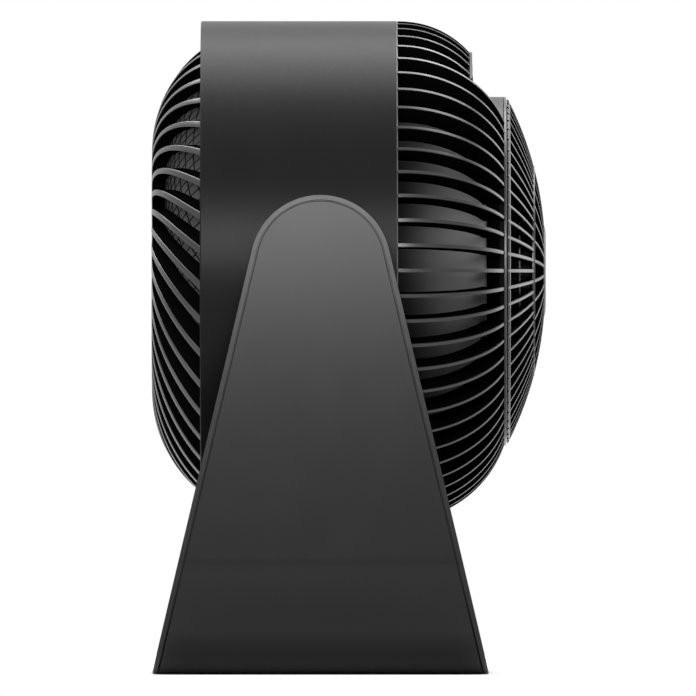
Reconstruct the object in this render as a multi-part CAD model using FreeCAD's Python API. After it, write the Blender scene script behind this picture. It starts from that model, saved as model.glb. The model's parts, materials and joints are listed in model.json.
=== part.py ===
import FreeCAD
import Part
import math
import os

from FreeCAD import Vector

# A fan heater: a drum-shaped head that tilts between the two legs of a U-shaped stand.
# Millimetres, +Z up, X along the tilt axis, front towards -Y, origin on the floor under the tilt axis.

# Fits that several pieces share
SLIP = 0.2
RUNNING_FIT = 0.06
MOVING_GAP = 0.3
SEAT_GAP = 0.2

# Tilt axis and drum band
PIVOT_HEIGHT = 201.0
DRUM_RADIUS = 125.25
DRUM_BEHIND = 60.0
DRUM_AHEAD = 38.5
DRUM_WALL = 2.5
DRUM_EDGE = 0.5

# Front grille: straight ribs over a rounded shoulder, ending on a thin ring
SHOULDER_RADIUS = 56.5
FRONT_RIB_COUNT = 62
FRONT_RIB_THICKNESS = 1.8
FRONT_RIB_DEPTH = 11.0
FRONT_SKIRT_WALL = 3.0
FRONT_SKIRT_DEPTH = 8.0
FRONT_SKIRT_SET_BACK = 0.3
RING_WIDTH = 1.4
RING_PROUD = 1.0
RING_RADIAL = 4.3
SLEEVE_LENGTH = 6.3
SLEEVE_WALL = 1.5
RING_CONE = 2.4

# Centre grille: a shallow dome set in the ring
CENTRE_GAP = 0.3
CENTRE_RING_WIDTH = 1.6
CENTRE_RIM_WALL = 1.2
CENTRE_RIM_DEPTH = 13.0
CENTRE_ARC_RADIUS = 168.75
CENTRE_ARC_OFFSET = 9.0
CENTRE_RIB_COUNT = 64
CENTRE_RIB_DEPTH = 6.0
CENTRE_RIB_THICKNESS = 1.6
MIDDLE_RING_RADIUS = 47.0
MIDDLE_RING_WALL = 1.8
MIDDLE_RING_SET_BACK = 1.6
MIDDLE_RING_DEPTH = 0.9
BACK_RING_RADIUS = 64.0
BACK_RING_WALL = 1.6
BACK_RING_SET_BACK = 3.6
BACK_RING_DEPTH = 0.8
HUB_RADIUS = 23.0
HUB_THICKNESS = 6.3
HUB_SLOPE = 4.0
HUB_LIFT = 0.3
RIB_BITE = 0.7

# Heater duct and the control pocket above it
DUCT_RADIUS = 85.0
DUCT_WALL = 1.4
DUCT_REAR = -4.0
DUCT_SET_BACK = 10.0
DUCT_LIP = 2.0
POCKET_FLOOR_WALL = 2.0
POCKET_DEPTH = 17.1
POCKET_RIB_COUNT = 10
POCKET_WALL = 1.4
POCKET_DROP = 1.5
POCKET_RIM_DEPTH = 3.2
POCKET_BEND_ANGLE = 60.0
PANEL_BOX_DEPTH = 9.3
PANEL_BOX_HEIGHT = 18.8
PANEL_BOX_WALL = 1.5
PANEL_CHEEK_ANGLE = 0.9
DISPLAY_HALF_ANGLE = 7.5
DISPLAY_MARGIN = 5.0
DISPLAY_FLANGE = 1.2
DISPLAY_PROUD = 0.2
BUTTON_RADIUS = 4.6
BUTTON_FLANGE = 1.0
BUTTON_FLANGE_THICKNESS = 1.5
BUTTON_PROUD = 0.4
BUTTON_ANGLES = {"button_power": -22.0, "button_heat": -14.5, "button_speed": 14.5, "button_timer": 22.0}
BOARD_THICKNESS = 1.6
SWITCH_RADIUS = 2.8
SWITCH_HEIGHT = 4.8
POST_RADIUS = 1.6
POST_ANGLE = 9.9

# Rear grille: swirled ribs over a rounded back
REAR_CORNER_RADIUS = 65.0
REAR_CORNER_CENTRE = 60.0
REAR_DEPTH = 24.5
REAR_RIB_COUNT = 40
REAR_RIB_WIDTH = 2.8
REAR_RIB_DEPTH = 7.0
REAR_HUB_RADIUS = 26.0
REAR_SWIRL_PER_MM = 0.485
REAR_SWIRL_START = 175.2
REAR_SKIRT_WALL = 4.0
REAR_FLANGE = 4.5
REAR_FLANGE_THICKNESS = 3.5
SCREEN_WALL = 0.8

# Motor, its mount and the fan
SHAFT_RADIUS = 3.0
MOTOR_RADIUS = 38.0
MOTOR_WALL = 1.5
MOTOR_REAR = -28.0
MOTOR_FRONT = 6.0
BEARING_RADIUS = 7.0
BEARING_LENGTH = 7.0
STATOR_WALL = 10.0
WINDING_LENGTH = 3.0
ROTOR_GAP = 0.6
CORE_LENGTH = 20.0
MOUNT_REAR = -14.0
MOUNT_RING_WALL = 4.0
MOUNT_ARM_COUNT = 6
MOUNT_ARM_WIDTH = 6.0
MOUNT_ARM_DEPTH = 7.0
FAN_RADIUS = 92.0
FAN_HUB_RADIUS = 30.0
FAN_HUB_LENGTH = 24.0
FAN_HUB_WALL = 2.5
FAN_MOTOR_GAP = 5.0
FAN_BLADE_COUNT = 9
FAN_BLADE_THICKNESS = 2.0
FAN_ROOT_CHORD = 24.0
FAN_TIP_CHORD = 50.0
FAN_ROOT_PITCH = 38.0
FAN_TIP_PITCH = 62.0
NUT_RADIUS = 6.5
NUT_LENGTH = 4.0

# Heating element in the duct
HEATER_PLACE = 44.0
HEATER_PLATE = 3.0
HEATER_DEPTH = 16.0
HEATER_HALF_WIDTH = 58.0
HEATER_FRAME_WALL = 2.0
HEATER_BAR_COUNT = 3
HEATER_BAR_HEIGHT = 8.0
HEATER_PACK_HEIGHT = 15.0
HEATER_FIN_COUNT = 14
HEATER_FIN_THICKNESS = 0.8
HEATER_STRIP = 1.0
CUTOUT_RADIUS = 8.0
CUTOUT_LENGTH = 7.0
CUTOUT_HEIGHT = 62.0

# Stand: two legs and a base in one U, with a cover let into each leg
LEG_TOP_RADIUS = 35.0
LEG_TOP_ABOVE_PIVOT = 2.6
LEG_HALF_DEPTH = 84.0
LEG_THICKNESS = 9.5
LEG_DRUM_GAP = 2.25
LEG_LEAN = 2.2
LEG_INNER_WALL = 2.5
LEG_RIM = 2.4
LEG_GROOVE = 0.6
LEG_COVER = 2.2
LEG_LEDGE = 3.0
BASE_CORNER_RADIUS = 56.0
BASE_INNER_CORNER = 42.0
BASE_TOP = 22.0
BASE_ROOF = 2.5
BASE_SIDE_WALL = 4.0
BASE_PLATE = 2.2
BASE_SHOULDER = 3.0
FOOT_RADIUS = 8.0
FOOT_HEIGHT = 0.5
FOOT_SEAT = 0.8
FOOT_INSET = 26.0
SCREW_SHANK = 1.5
SCREW_HEAD = 3.1
SCREW_HEAD_DEPTH = 1.0
SCREW_LENGTH = 9.0
SCREW_INSET = 8.0
SCREW_BOSS = 4.0
GLAND_RADIUS = 6.0
GLAND_BORE = 3.4
GLAND_FLANGE = 2.0
GLAND_ASIDE = 40.0
BOARD_LENGTH = 90.0
BOARD_WIDTH = 70.0
BOARD_POST_HEIGHT = 4.0
RELAY_SIZE = (18.0, 15.0, 8.0)
TILT_SWITCH_SIZE = (16.0, 12.0, 7.0)

# Tilt pivots
PIN_RADIUS = 8.0
PIN_HEAD_RADIUS = 11.0
PIN_HEAD_THICKNESS = 2.0
PIN_GRIP = 8.0
BOSS_RADIUS = 15.0
BOSS_PROUD = 1.65
WASHER_THICKNESS = 1.0
BUSH_WALL = 2.0
LEG_BOSS_LENGTH = 4.8

# Places worked out from the sizes above, along the head axis: forward of the tilt axis is positive
DRUM_BORE = DRUM_RADIUS - DRUM_WALL
RING_RADIUS = DUCT_RADIUS + MOVING_GAP + POCKET_FLOOR_WALL
SHOULDER_CENTRE = DRUM_RADIUS - SHOULDER_RADIUS


def shoulder_reach(radius, depth=0.0):
    """How far forward the rounded shoulder stands at a radius, measured on a surface set in by depth."""
    return DRUM_AHEAD + math.sqrt((SHOULDER_RADIUS - depth) ** 2 - (radius - SHOULDER_CENTRE) ** 2)


RING_FRONT = shoulder_reach(RING_RADIUS) + RING_PROUD
RING_BACK = RING_FRONT - RING_WIDTH
RING_BORE = RING_RADIUS - RING_RADIAL
DUCT_FRONT = RING_FRONT - DUCT_SET_BACK
CENTRE_BACK = RING_FRONT + CENTRE_GAP
CENTRE_RADIUS = RING_RADIUS - CENTRE_RING_WIDTH
CENTRE_EDGE_RADIUS = CENTRE_RADIUS - CENTRE_RING_WIDTH
CENTRE_EDGE = CENTRE_BACK + CENTRE_RING_WIDTH
RIM_OUTER = RING_BORE - SLIP
RIM_INNER = RIM_OUTER - CENTRE_RIM_WALL
FRONT_RIB_PITCH = 360.0 / FRONT_RIB_COUNT
POCKET_HALF_ANGLE = POCKET_RIB_COUNT / 2 * FRONT_RIB_PITCH
PANEL_FRONT = RING_FRONT - POCKET_DEPTH
PANEL_BACK = PANEL_FRONT - POCKET_WALL
PANEL_BOX_BACK = PANEL_BACK - PANEL_BOX_DEPTH
PANEL_BOX_TOP = RING_RADIUS + PANEL_BOX_HEIGHT
PANEL_TOP = SHOULDER_CENTRE + math.sqrt(SHOULDER_RADIUS ** 2 - (PANEL_FRONT - DRUM_AHEAD) ** 2) - POCKET_DROP
PANEL_ROOM = PANEL_BOX_HEIGHT - PANEL_BOX_WALL
BUTTON_ROW = PANEL_ROOM / 2
POST_ROWS = (2 * POST_RADIUS, PANEL_ROOM - 2 * POST_RADIUS)
DISPLAY_TOP = RING_RADIUS + PANEL_ROOM - DISPLAY_FLANGE - SLIP
BUTTON_RADIUS_OUT = RING_RADIUS + BUTTON_ROW
REAR_BACK = -DRUM_BEHIND - REAR_DEPTH
REAR_CENTRE_ALONG = REAR_BACK + REAR_CORNER_RADIUS
FAN_FRONT = MOTOR_REAR - BEARING_LENGTH / 2 - FAN_MOTOR_GAP
FAN_BACK = FAN_FRONT - FAN_HUB_LENGTH
BOSS_FACE = DRUM_RADIUS + BOSS_PROUD
WASHER_FACE = BOSS_FACE + WASHER_THICKNESS
LEG_BOSS_FACE = WASHER_FACE + MOVING_GAP
LEG_BOSS_END = LEG_BOSS_FACE + LEG_BOSS_LENGTH
LEG_TOP_CENTRE = PIVOT_HEIGHT + LEG_TOP_ABOVE_PIVOT
LEG_TOP = LEG_TOP_CENTRE + LEG_TOP_RADIUS
LEG_INNER_TOP = DRUM_RADIUS + LEG_DRUM_GAP
LEG_OUTER_TOP = LEG_INNER_TOP + LEG_THICKNESS
LEG_SLOPE = (math.atan2(LEG_HALF_DEPTH, LEG_TOP_CENTRE)
             - math.asin(LEG_TOP_RADIUS / math.hypot(LEG_HALF_DEPTH, LEG_TOP_CENTRE)))
LEAN = math.radians(LEG_LEAN)
BASE_BOTTOM = FOOT_HEIGHT
OVERRUN = 5.0

ORIGIN = Vector(0, 0, 0)
ALONG_Y = Vector(0, 1, 0)
ALONG_Z = Vector(0, 0, 1)
TO_HEAD = Vector(0, 0, PIVOT_HEIGHT)


# Helpers

def meridian(forward, radius):
    """A point above the head axis, in head coordinates."""
    return Vector(0, -forward, radius)


def side_on(depth, height):
    """A point seen from the side."""
    return Vector(0, depth, height)


def front_on(across, height):
    """A point seen from the front."""
    return Vector(across, 0, height)


def outline(place, start, *steps):
    """A face from a start point and steps: a point for a line, a pair of points for an arc."""
    edges = []
    here = place(*start)
    for step in steps:
        if isinstance(step[0], tuple):
            there = place(*step[1])
            edges.append(Part.Arc(here, place(*step[0]), there).toShape())
        else:
            there = place(*step)
            edges.append(Part.makeLine(here, there))
        here = there
    edges.append(Part.makeLine(here, place(*start)))
    return Part.Face(Part.Wire(edges))


def rectangle(first, last, inner, outer):
    """A meridian rectangle between two places along the axis and two radii."""
    return outline(meridian, (first, inner), (last, inner), (last, outer), (first, outer))


def turned(face):
    return face.revolve(ORIGIN, ALONG_Y, 360)


def ring(first, last, inner, outer):
    return turned(rectangle(first, last, inner, outer))


def disc(first, last, radius):
    return Part.makeCylinder(radius, last - first, meridian(last, 0), ALONG_Y)


def sector(face, start, end):
    """Sweep a meridian face about the head axis from one angle to another, measured from the top."""
    start_face = face.copy()
    start_face.rotate(ORIGIN, ALONG_Y, start)
    return start_face.revolve(ORIGIN, ALONG_Y, end - start)


def spun(shape, angle):
    copy = shape.copy()
    copy.rotate(ORIGIN, ALONG_Y, angle)
    return copy


def around(shape, count, start=0.0):
    return [spun(shape, start + 360.0 * index / count) for index in range(count)]


def plate_on_meridian(face, thickness):
    plate = face.extrude(Vector(thickness, 0, 0))
    plate.translate(Vector(-thickness / 2, 0, 0))
    return plate


def joined(shapes):
    return shapes[0].multiFuse(shapes[1:])


def box(x, y, z):
    """A box between three pairs of limits."""
    return Part.makeBox(x[1] - x[0], y[1] - y[0], z[1] - z[0], Vector(x[0], y[0], z[0]))


def post(across, depth, bottom, top, radius):
    return Part.makeCylinder(radius, top - bottom, Vector(across, depth, bottom), ALONG_Z)


def rod(side, inner, outer, radius):
    """A cylinder on the tilt axis, in head coordinates, on the left (-1) or the right (+1)."""
    return Part.makeCylinder(radius, outer - inner, Vector(side * inner, 0, 0), Vector(side, 0, 0))


def both_ways(value):
    return (-value, value)


PARTS = {}


def keep(name, shape, in_head=False):
    if in_head:
        shape.translate(TO_HEAD)
    PARTS[name] = shape


SIDES = {"left": -1, "right": 1}


# Drum housing

def drum_housing():
    rear = -DRUM_BEHIND
    shell = turned(outline(
        meridian,
        (rear, LIP_BORE), (rear, DRUM_RADIUS - DRUM_EDGE), (rear + DRUM_EDGE, DRUM_RADIUS),
        (DRUM_AHEAD - DRUM_EDGE, DRUM_RADIUS), (DRUM_AHEAD, DRUM_RADIUS - DRUM_EDGE), (DRUM_AHEAD, DRUM_BORE),
        (rear + DRUM_WALL, DRUM_BORE), (rear + DRUM_WALL, LIP_BORE)))
    bosses = [rod(side, DRUM_BORE - PIN_GRIP / 2, BOSS_FACE, BOSS_RADIUS) for side in SIDES.values()]
    bores = [rod(side, DRUM_BORE - PIN_GRIP, BOSS_FACE + OVERRUN, PIN_RADIUS + RUNNING_FIT)
             for side in SIDES.values()]
    return joined([shell] + bosses).cut(bores)


# Front grille

def on_shoulder(angle, depth=0.0):
    """A meridian point on the rounded shoulder, at an angle up from straight ahead."""
    radius = SHOULDER_RADIUS - depth
    turn = math.radians(angle)
    return (DRUM_AHEAD + radius * math.cos(turn), SHOULDER_CENTRE + radius * math.sin(turn))


SKIRT_OUTER = DRUM_BORE - SLIP
SKIRT_MIDDLE = SKIRT_OUTER - FRONT_SKIRT_WALL / 2


def front_rib():
    """One rib over the shoulder, with a tab behind it that reaches into the skirt."""
    halfway = 55.0
    outer_end = (shoulder_reach(RING_RADIUS), RING_RADIUS)
    rib_foot = DUCT_RADIUS + 2 * MOVING_GAP
    inner_start = (shoulder_reach(rib_foot, FRONT_RIB_DEPTH), rib_foot)
    inner_end = (DRUM_AHEAD, DRUM_RADIUS - FRONT_RIB_DEPTH)
    tab_end = DRUM_AHEAD - FRONT_SKIRT_DEPTH / 2
    face = outline(
        meridian,
        (DRUM_AHEAD, DRUM_RADIUS), (on_shoulder(halfway), outer_end), (outer_end[0], rib_foot), inner_start,
        (on_shoulder(halfway, FRONT_RIB_DEPTH), inner_end),
        (tab_end, inner_end[1]), (tab_end, SKIRT_MIDDLE), (DRUM_AHEAD, SKIRT_MIDDLE))
    return plate_on_meridian(face, FRONT_RIB_THICKNESS)


def short_front_rib():
    """A rib above the pocket: it bends down to the top of the panel wall and stops there."""
    wide = both_ways(FRONT_RIB_THICKNESS)
    above = DRUM_RADIUS + OVERRUN
    pocket = box(wide, (-RING_FRONT - OVERRUN, -PANEL_BACK), (0, above))
    panel_room = box(wide, (-PANEL_BACK, -PANEL_BOX_BACK + SLIP), (0, PANEL_BOX_TOP + SLIP))
    bend = on_shoulder(POCKET_BEND_ANGLE)
    over_bend = plate_on_meridian(
        outline(meridian, bend, (PANEL_BACK, PANEL_TOP), (PANEL_BACK, above), (bend[0], above)),
        2 * FRONT_RIB_THICKNESS)
    return front_rib().cut([pocket, panel_room, over_bend])


def front_grille():
    rib = front_rib()
    short_rib = short_front_rib()
    ribs = []
    for index in range(FRONT_RIB_COUNT):
        angle = FRONT_RIB_PITCH * (index + 0.5)
        from_top = min(angle, 360.0 - angle)
        ribs.append(spun(short_rib if from_top < POCKET_HALF_ANGLE else rib, angle))
    skirt = ring(DRUM_AHEAD - FRONT_SKIRT_DEPTH, DRUM_AHEAD - FRONT_SKIRT_SET_BACK,
                 SKIRT_OUTER - FRONT_SKIRT_WALL, SKIRT_OUTER)
    sleeve_back = RING_BACK - SLEEVE_LENGTH
    sleeve_outer = RING_BORE + SLEEVE_WALL
    end_ring = turned(outline(
        meridian,
        (sleeve_back, RING_BORE), (RING_FRONT, RING_BORE), (RING_FRONT, RING_RADIUS), (RING_BACK, RING_RADIUS),
        (RING_BACK, sleeve_outer), (sleeve_back, sleeve_outer)))
    clear = POCKET_HALF_ANGLE + PANEL_CHEEK_ANGLE
    cone_face = outline(
        meridian,
        (RING_BACK - RING_CONE, sleeve_outer), (RING_BACK, sleeve_outer), (RING_BACK, RING_RADIUS - SLIP))
    cone = sector(cone_face, clear, 360.0 - clear)
    rim_foot = PANEL_BOX_TOP + 2 * SLIP
    rim_face = outline(
        meridian, (PANEL_BACK - POCKET_RIM_DEPTH, rim_foot), (PANEL_BACK, rim_foot),
        (PANEL_BACK, PANEL_TOP - SLIP))
    pocket_rim = sector(rim_face, -POCKET_HALF_ANGLE, POCKET_HALF_ANGLE)
    return joined([skirt, end_ring, cone, pocket_rim] + ribs)


# Centre grille

def centre_sag(radius):
    """How far the shallow dome falls back at a radius from the crown of its arc."""
    return CENTRE_ARC_RADIUS - math.sqrt(CENTRE_ARC_RADIUS ** 2 - (radius - CENTRE_ARC_OFFSET) ** 2)


def centre_reach(radius):
    """How far forward the shallow dome stands at a radius."""
    return CENTRE_EDGE + centre_sag(CENTRE_EDGE_RADIUS) - centre_sag(radius)


def centre_rib(inner_end):
    outer_end = CENTRE_EDGE_RADIUS - RIB_BITE
    rim_middle = RIM_INNER + CENTRE_RIM_WALL / 2
    shelf = CENTRE_BACK + CENTRE_RING_WIDTH / 2
    middle = (inner_end + outer_end) / 2
    back_middle = (inner_end + rim_middle) / 2

    def back(radius):
        return (centre_reach(radius) - CENTRE_RIB_DEPTH, radius)

    face = outline(
        meridian,
        (centre_reach(outer_end), outer_end),
        ((centre_reach(middle), middle), (centre_reach(inner_end), inner_end)),
        back(inner_end), (back(back_middle), back(rim_middle)),
        (shelf, rim_middle), (shelf, outer_end))
    return plate_on_meridian(face, CENTRE_RIB_THICKNESS)


def centre_grille():
    rim = turned(outline(
        meridian,
        (CENTRE_BACK - CENTRE_RIM_DEPTH, RIM_INNER), (CENTRE_BACK - CENTRE_RIM_DEPTH, RIM_OUTER),
        (CENTRE_BACK, RIM_OUTER), (CENTRE_BACK, CENTRE_RADIUS),
        (CENTRE_EDGE, CENTRE_EDGE_RADIUS), (CENTRE_EDGE, RIM_INNER)))
    middle_front = centre_reach(MIDDLE_RING_RADIUS) - MIDDLE_RING_SET_BACK
    middle_ring = ring(middle_front - MIDDLE_RING_DEPTH, middle_front,
                       MIDDLE_RING_RADIUS - MIDDLE_RING_WALL / 2, MIDDLE_RING_RADIUS + MIDDLE_RING_WALL / 2)
    back_front = centre_reach(BACK_RING_RADIUS) - BACK_RING_SET_BACK
    back_ring = ring(back_front - BACK_RING_DEPTH, back_front,
                     BACK_RING_RADIUS - BACK_RING_WALL / 2, BACK_RING_RADIUS + BACK_RING_WALL / 2)
    crown = centre_reach(CENTRE_ARC_OFFSET) + HUB_LIFT
    hub_edge = centre_reach(HUB_RADIUS) + HUB_LIFT
    hub = turned(outline(
        meridian,
        (crown - HUB_THICKNESS, 0), (crown, 0), (crown, HUB_RADIUS - HUB_SLOPE), (hub_edge, HUB_RADIUS),
        (crown - HUB_THICKNESS, HUB_RADIUS)))
    pitch = 360.0 / CENTRE_RIB_COUNT
    short_rib = centre_rib(MIDDLE_RING_RADIUS)
    long_rib = centre_rib(HUB_RADIUS - RIB_BITE)
    ribs = []
    for index in range(CENTRE_RIB_COUNT):
        ribs.append(spun(long_rib if index % 2 else short_rib, pitch * index))
    return joined([rim, middle_ring, back_ring, hub] + ribs)


def outlet_screen():
    """A fine safety screen just behind the ribs of the centre grille."""
    behind = CENTRE_RIB_DEPTH + SEAT_GAP
    edge = RIM_INNER - SLIP
    middle = (edge + CENTRE_ARC_OFFSET) / 2
    front = [(centre_reach(radius) - behind, radius) for radius in (CENTRE_ARC_OFFSET, middle, edge)]
    back = [(forward - SCREEN_WALL, radius) for forward, radius in front]
    return turned(outline(
        meridian, (front[0][0], 0), front[0], (front[1], front[2]),
        back[2], (back[1], back[0]), (back[0][0], 0)))


# Control panel, its window, board and buttons

def on_panel(angle, row, first, last, radius):
    """A round peg through the panel, a row above the pocket floor, at an angle from the top."""
    peg = Part.makeCylinder(radius, last - first, meridian(last, RING_RADIUS + row), ALONG_Y)
    return spun(peg, angle)


def display_face(margin, first, last):
    inner = RING_RADIUS + DISPLAY_MARGIN - margin
    return rectangle(first, last, inner, DISPLAY_TOP + margin)


def display_sector(margin, first, last):
    half = DISPLAY_HALF_ANGLE + math.degrees(margin / BUTTON_RADIUS_OUT)
    return sector(display_face(margin, first, last), -half, half)


def control_panel():
    floor_inner = RING_RADIUS - POCKET_FLOOR_WALL
    arm_inner = PANEL_BOX_TOP - PANEL_BOX_WALL
    half = POCKET_HALF_ANGLE
    body = sector(outline(
        meridian,
        (PANEL_BOX_BACK, floor_inner), (RING_BACK, floor_inner), (RING_BACK, RING_RADIUS),
        (PANEL_FRONT, RING_RADIUS), (PANEL_FRONT, PANEL_TOP), (PANEL_BACK, PANEL_TOP),
        (PANEL_BACK, PANEL_BOX_TOP), (PANEL_BOX_BACK, PANEL_BOX_TOP), (PANEL_BOX_BACK, arm_inner),
        (PANEL_BACK, arm_inner), (PANEL_BACK, RING_RADIUS), (PANEL_BOX_BACK, RING_RADIUS)), -half, half)
    cheek_face = rectangle(PANEL_BOX_BACK, PANEL_FRONT, floor_inner, PANEL_BOX_TOP)
    cheeks = [sector(cheek_face, -half, -half + PANEL_CHEEK_ANGLE),
              sector(cheek_face, half - PANEL_CHEEK_ANGLE, half)]
    board_front = PANEL_BOX_BACK + BOARD_THICKNESS
    posts = [on_panel(angle, row, board_front, PANEL_BACK + POCKET_WALL / 2, POST_RADIUS)
             for angle in both_ways(POST_ANGLE) for row in POST_ROWS]
    holes = [on_panel(angle, BUTTON_ROW, PANEL_BACK - SLIP, PANEL_FRONT + SLIP, BUTTON_RADIUS + MOVING_GAP)
             for angle in BUTTON_ANGLES.values()]
    window = display_sector(SLIP, PANEL_BACK - SLIP, PANEL_FRONT + SLIP)
    return joined([body] + cheeks + posts).cut(holes + [window])


def display_window():
    pane = display_sector(0.0, PANEL_BACK, PANEL_FRONT + DISPLAY_PROUD)
    flange = display_sector(DISPLAY_FLANGE, PANEL_BACK - DISPLAY_FLANGE, PANEL_BACK)
    return pane.fuse(flange)


def control_board():
    half = POCKET_HALF_ANGLE - 2 * PANEL_CHEEK_ANGLE
    face = rectangle(PANEL_BOX_BACK, PANEL_BOX_BACK + BOARD_THICKNESS, RING_RADIUS + SLIP,
                     PANEL_BOX_TOP - PANEL_BOX_WALL - SLIP)
    front = PANEL_BOX_BACK + BOARD_THICKNESS
    switches = [on_panel(angle, BUTTON_ROW, front - BOARD_THICKNESS / 2, front + SWITCH_HEIGHT, SWITCH_RADIUS)
                for angle in BUTTON_ANGLES.values()]
    return joined([sector(face, -half, half)] + switches)


def button(angle):
    stem = on_panel(angle, BUTTON_ROW, PANEL_BACK, PANEL_FRONT + BUTTON_PROUD, BUTTON_RADIUS)
    flange = on_panel(angle, BUTTON_ROW, PANEL_BACK - BUTTON_FLANGE_THICKNESS, PANEL_BACK,
                      BUTTON_RADIUS + BUTTON_FLANGE)
    return stem.fuse(flange)


# Rear grille

def rear_radius(forward, depth=0.0):
    """Radius of the rounded back at a place along the axis, on a surface set in by depth."""
    corner = REAR_CORNER_RADIUS - depth
    return REAR_CORNER_CENTRE + math.sqrt(corner ** 2 - (forward - REAR_CENTRE_ALONG) ** 2)


# The rear ribs pass through the drum's lip and spring from the flange behind it
LIP_BORE = rear_radius(-DRUM_BEHIND + DRUM_WALL) + 2 * SLIP


def rear_shell():
    start = -DRUM_BEHIND + DRUM_WALL
    inner_back = REAR_BACK + REAR_RIB_DEPTH
    middle = (start + REAR_BACK) / 2 - REAR_DEPTH / 4
    hub = REAR_HUB_RADIUS - 2.0
    return turned(outline(
        meridian,
        (start, rear_radius(start)), ((middle, rear_radius(middle)), (REAR_BACK, REAR_CORNER_CENTRE)),
        (REAR_BACK, hub), (inner_back, hub), (inner_back, REAR_CORNER_CENTRE),
        ((middle, rear_radius(middle, REAR_RIB_DEPTH)), (start, rear_radius(start, REAR_RIB_DEPTH)))))


def swirl_point(radius):
    """A point on the swirl line of one rib, seen along the head axis."""
    angle = math.radians(REAR_SWIRL_START - REAR_SWIRL_PER_MM * (rear_radius(-DRUM_BEHIND) - radius))
    return Vector(radius * math.cos(angle), 0, radius * math.sin(angle))


def swirl_strip():
    """A curved strip as wide as a rib, as deep as the whole back."""
    outer_end = rear_radius(-DRUM_BEHIND + DRUM_WALL) + REAR_RIB_WIDTH
    inner_end = REAR_HUB_RADIUS - 2 * REAR_RIB_WIDTH
    ends = [swirl_point(radius) for radius in (outer_end, (outer_end + inner_end) / 2, inner_end)]
    centre = Part.Arc(*ends).toShape().Curve.Center

    def shifted(point, offset):
        away = point - centre
        return centre + away * ((away.Length + offset) / away.Length)

    near = [shifted(point, -REAR_RIB_WIDTH / 2) for point in ends]
    far = [shifted(point, REAR_RIB_WIDTH / 2) for point in ends]
    wire = Part.Wire([
        Part.Arc(*near).toShape(), Part.makeLine(near[2], far[2]),
        Part.Arc(far[2], far[1], far[0]).toShape(), Part.makeLine(far[0], near[0])])
    return Part.Face(wire).extrude(Vector(0, -REAR_BACK + OVERRUN, 0))


def rear_grille():
    rib = rear_shell().common(swirl_strip())
    skirt_outer = LIP_BORE - SLIP
    start = -DRUM_BEHIND + DRUM_WALL
    skirt = turned(outline(
        meridian,
        (-DRUM_BEHIND, skirt_outer - REAR_SKIRT_WALL), (-DRUM_BEHIND, skirt_outer), (start, skirt_outer),
        (start, skirt_outer + REAR_FLANGE), (start + REAR_FLANGE_THICKNESS, skirt_outer + REAR_FLANGE),
        (start + REAR_FLANGE_THICKNESS, skirt_outer - REAR_SKIRT_WALL)))
    hub = disc(REAR_BACK, REAR_BACK + REAR_RIB_DEPTH, REAR_HUB_RADIUS)
    return joined([skirt, hub] + around(rib, REAR_RIB_COUNT))


def dust_screen():
    """A fine dust screen lying against the inside of the rear ribs."""
    start = -DRUM_BEHIND + DRUM_WALL + REAR_FLANGE_THICKNESS
    near = REAR_RIB_DEPTH + SEAT_GAP
    far = near + SCREEN_WALL
    middle = (start + REAR_BACK) / 2 - REAR_DEPTH / 4
    return turned(outline(
        meridian,
        (start, rear_radius(start, near)),
        ((middle, rear_radius(middle, near)), (REAR_BACK + near, REAR_CORNER_CENTRE)),
        (REAR_BACK + near, 0), (REAR_BACK + far, 0), (REAR_BACK + far, REAR_CORNER_CENTRE),
        ((middle, rear_radius(middle, far)), (start, rear_radius(start, far)))))


# Duct and heating element

def inner_duct():
    """A plain tube whose front end rolls inwards."""
    bore = DUCT_RADIUS - DUCT_WALL
    bend = DUCT_FRONT - DUCT_LIP
    lip_radius = DUCT_RADIUS - DUCT_LIP
    outer = DUCT_LIP * math.sqrt(0.5)
    inner = (DUCT_LIP - DUCT_WALL) * math.sqrt(0.5)
    return turned(outline(
        meridian,
        (DUCT_REAR, bore), (DUCT_REAR, DUCT_RADIUS), (bend, DUCT_RADIUS),
        ((bend + outer, lip_radius + outer), (DUCT_FRONT, lip_radius)), (DUCT_FRONT - DUCT_WALL, lip_radius),
        ((bend + inner, lip_radius + inner), (bend, bore))))


HEATER_HALF_HEIGHT = (HEATER_BAR_COUNT * HEATER_BAR_HEIGHT + (HEATER_BAR_COUNT + 1) * HEATER_PACK_HEIGHT) / 2
HEATER_PITCH = HEATER_BAR_HEIGHT + HEATER_PACK_HEIGHT
HEATER_MIDDLE = HEATER_PLACE + HEATER_PLATE / 2
HEATER_SPAN = (-HEATER_MIDDLE - HEATER_DEPTH / 2, -HEATER_MIDDLE + HEATER_DEPTH / 2)


def heater_frame():
    plate = disc(HEATER_PLACE, HEATER_PLACE + HEATER_PLATE, DUCT_RADIUS - DUCT_WALL - SLIP)
    wide = HEATER_HALF_WIDTH + HEATER_FRAME_WALL
    high = HEATER_HALF_HEIGHT + HEATER_FRAME_WALL
    tube = box(both_ways(wide), HEATER_SPAN, both_ways(high))
    window = box(both_ways(HEATER_HALF_WIDTH), (HEATER_SPAN[0] - OVERRUN, HEATER_SPAN[1] + OVERRUN),
                 both_ways(HEATER_HALF_HEIGHT))
    return plate.fuse(tube).cut(window)


def heater_bars():
    bars = []
    for index in range(HEATER_BAR_COUNT):
        bottom = -HEATER_HALF_HEIGHT + HEATER_PACK_HEIGHT + index * HEATER_PITCH
        bars.append(box(both_ways(HEATER_HALF_WIDTH), HEATER_SPAN, (bottom, bottom + HEATER_BAR_HEIGHT)))
    return Part.makeCompound(bars)


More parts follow.
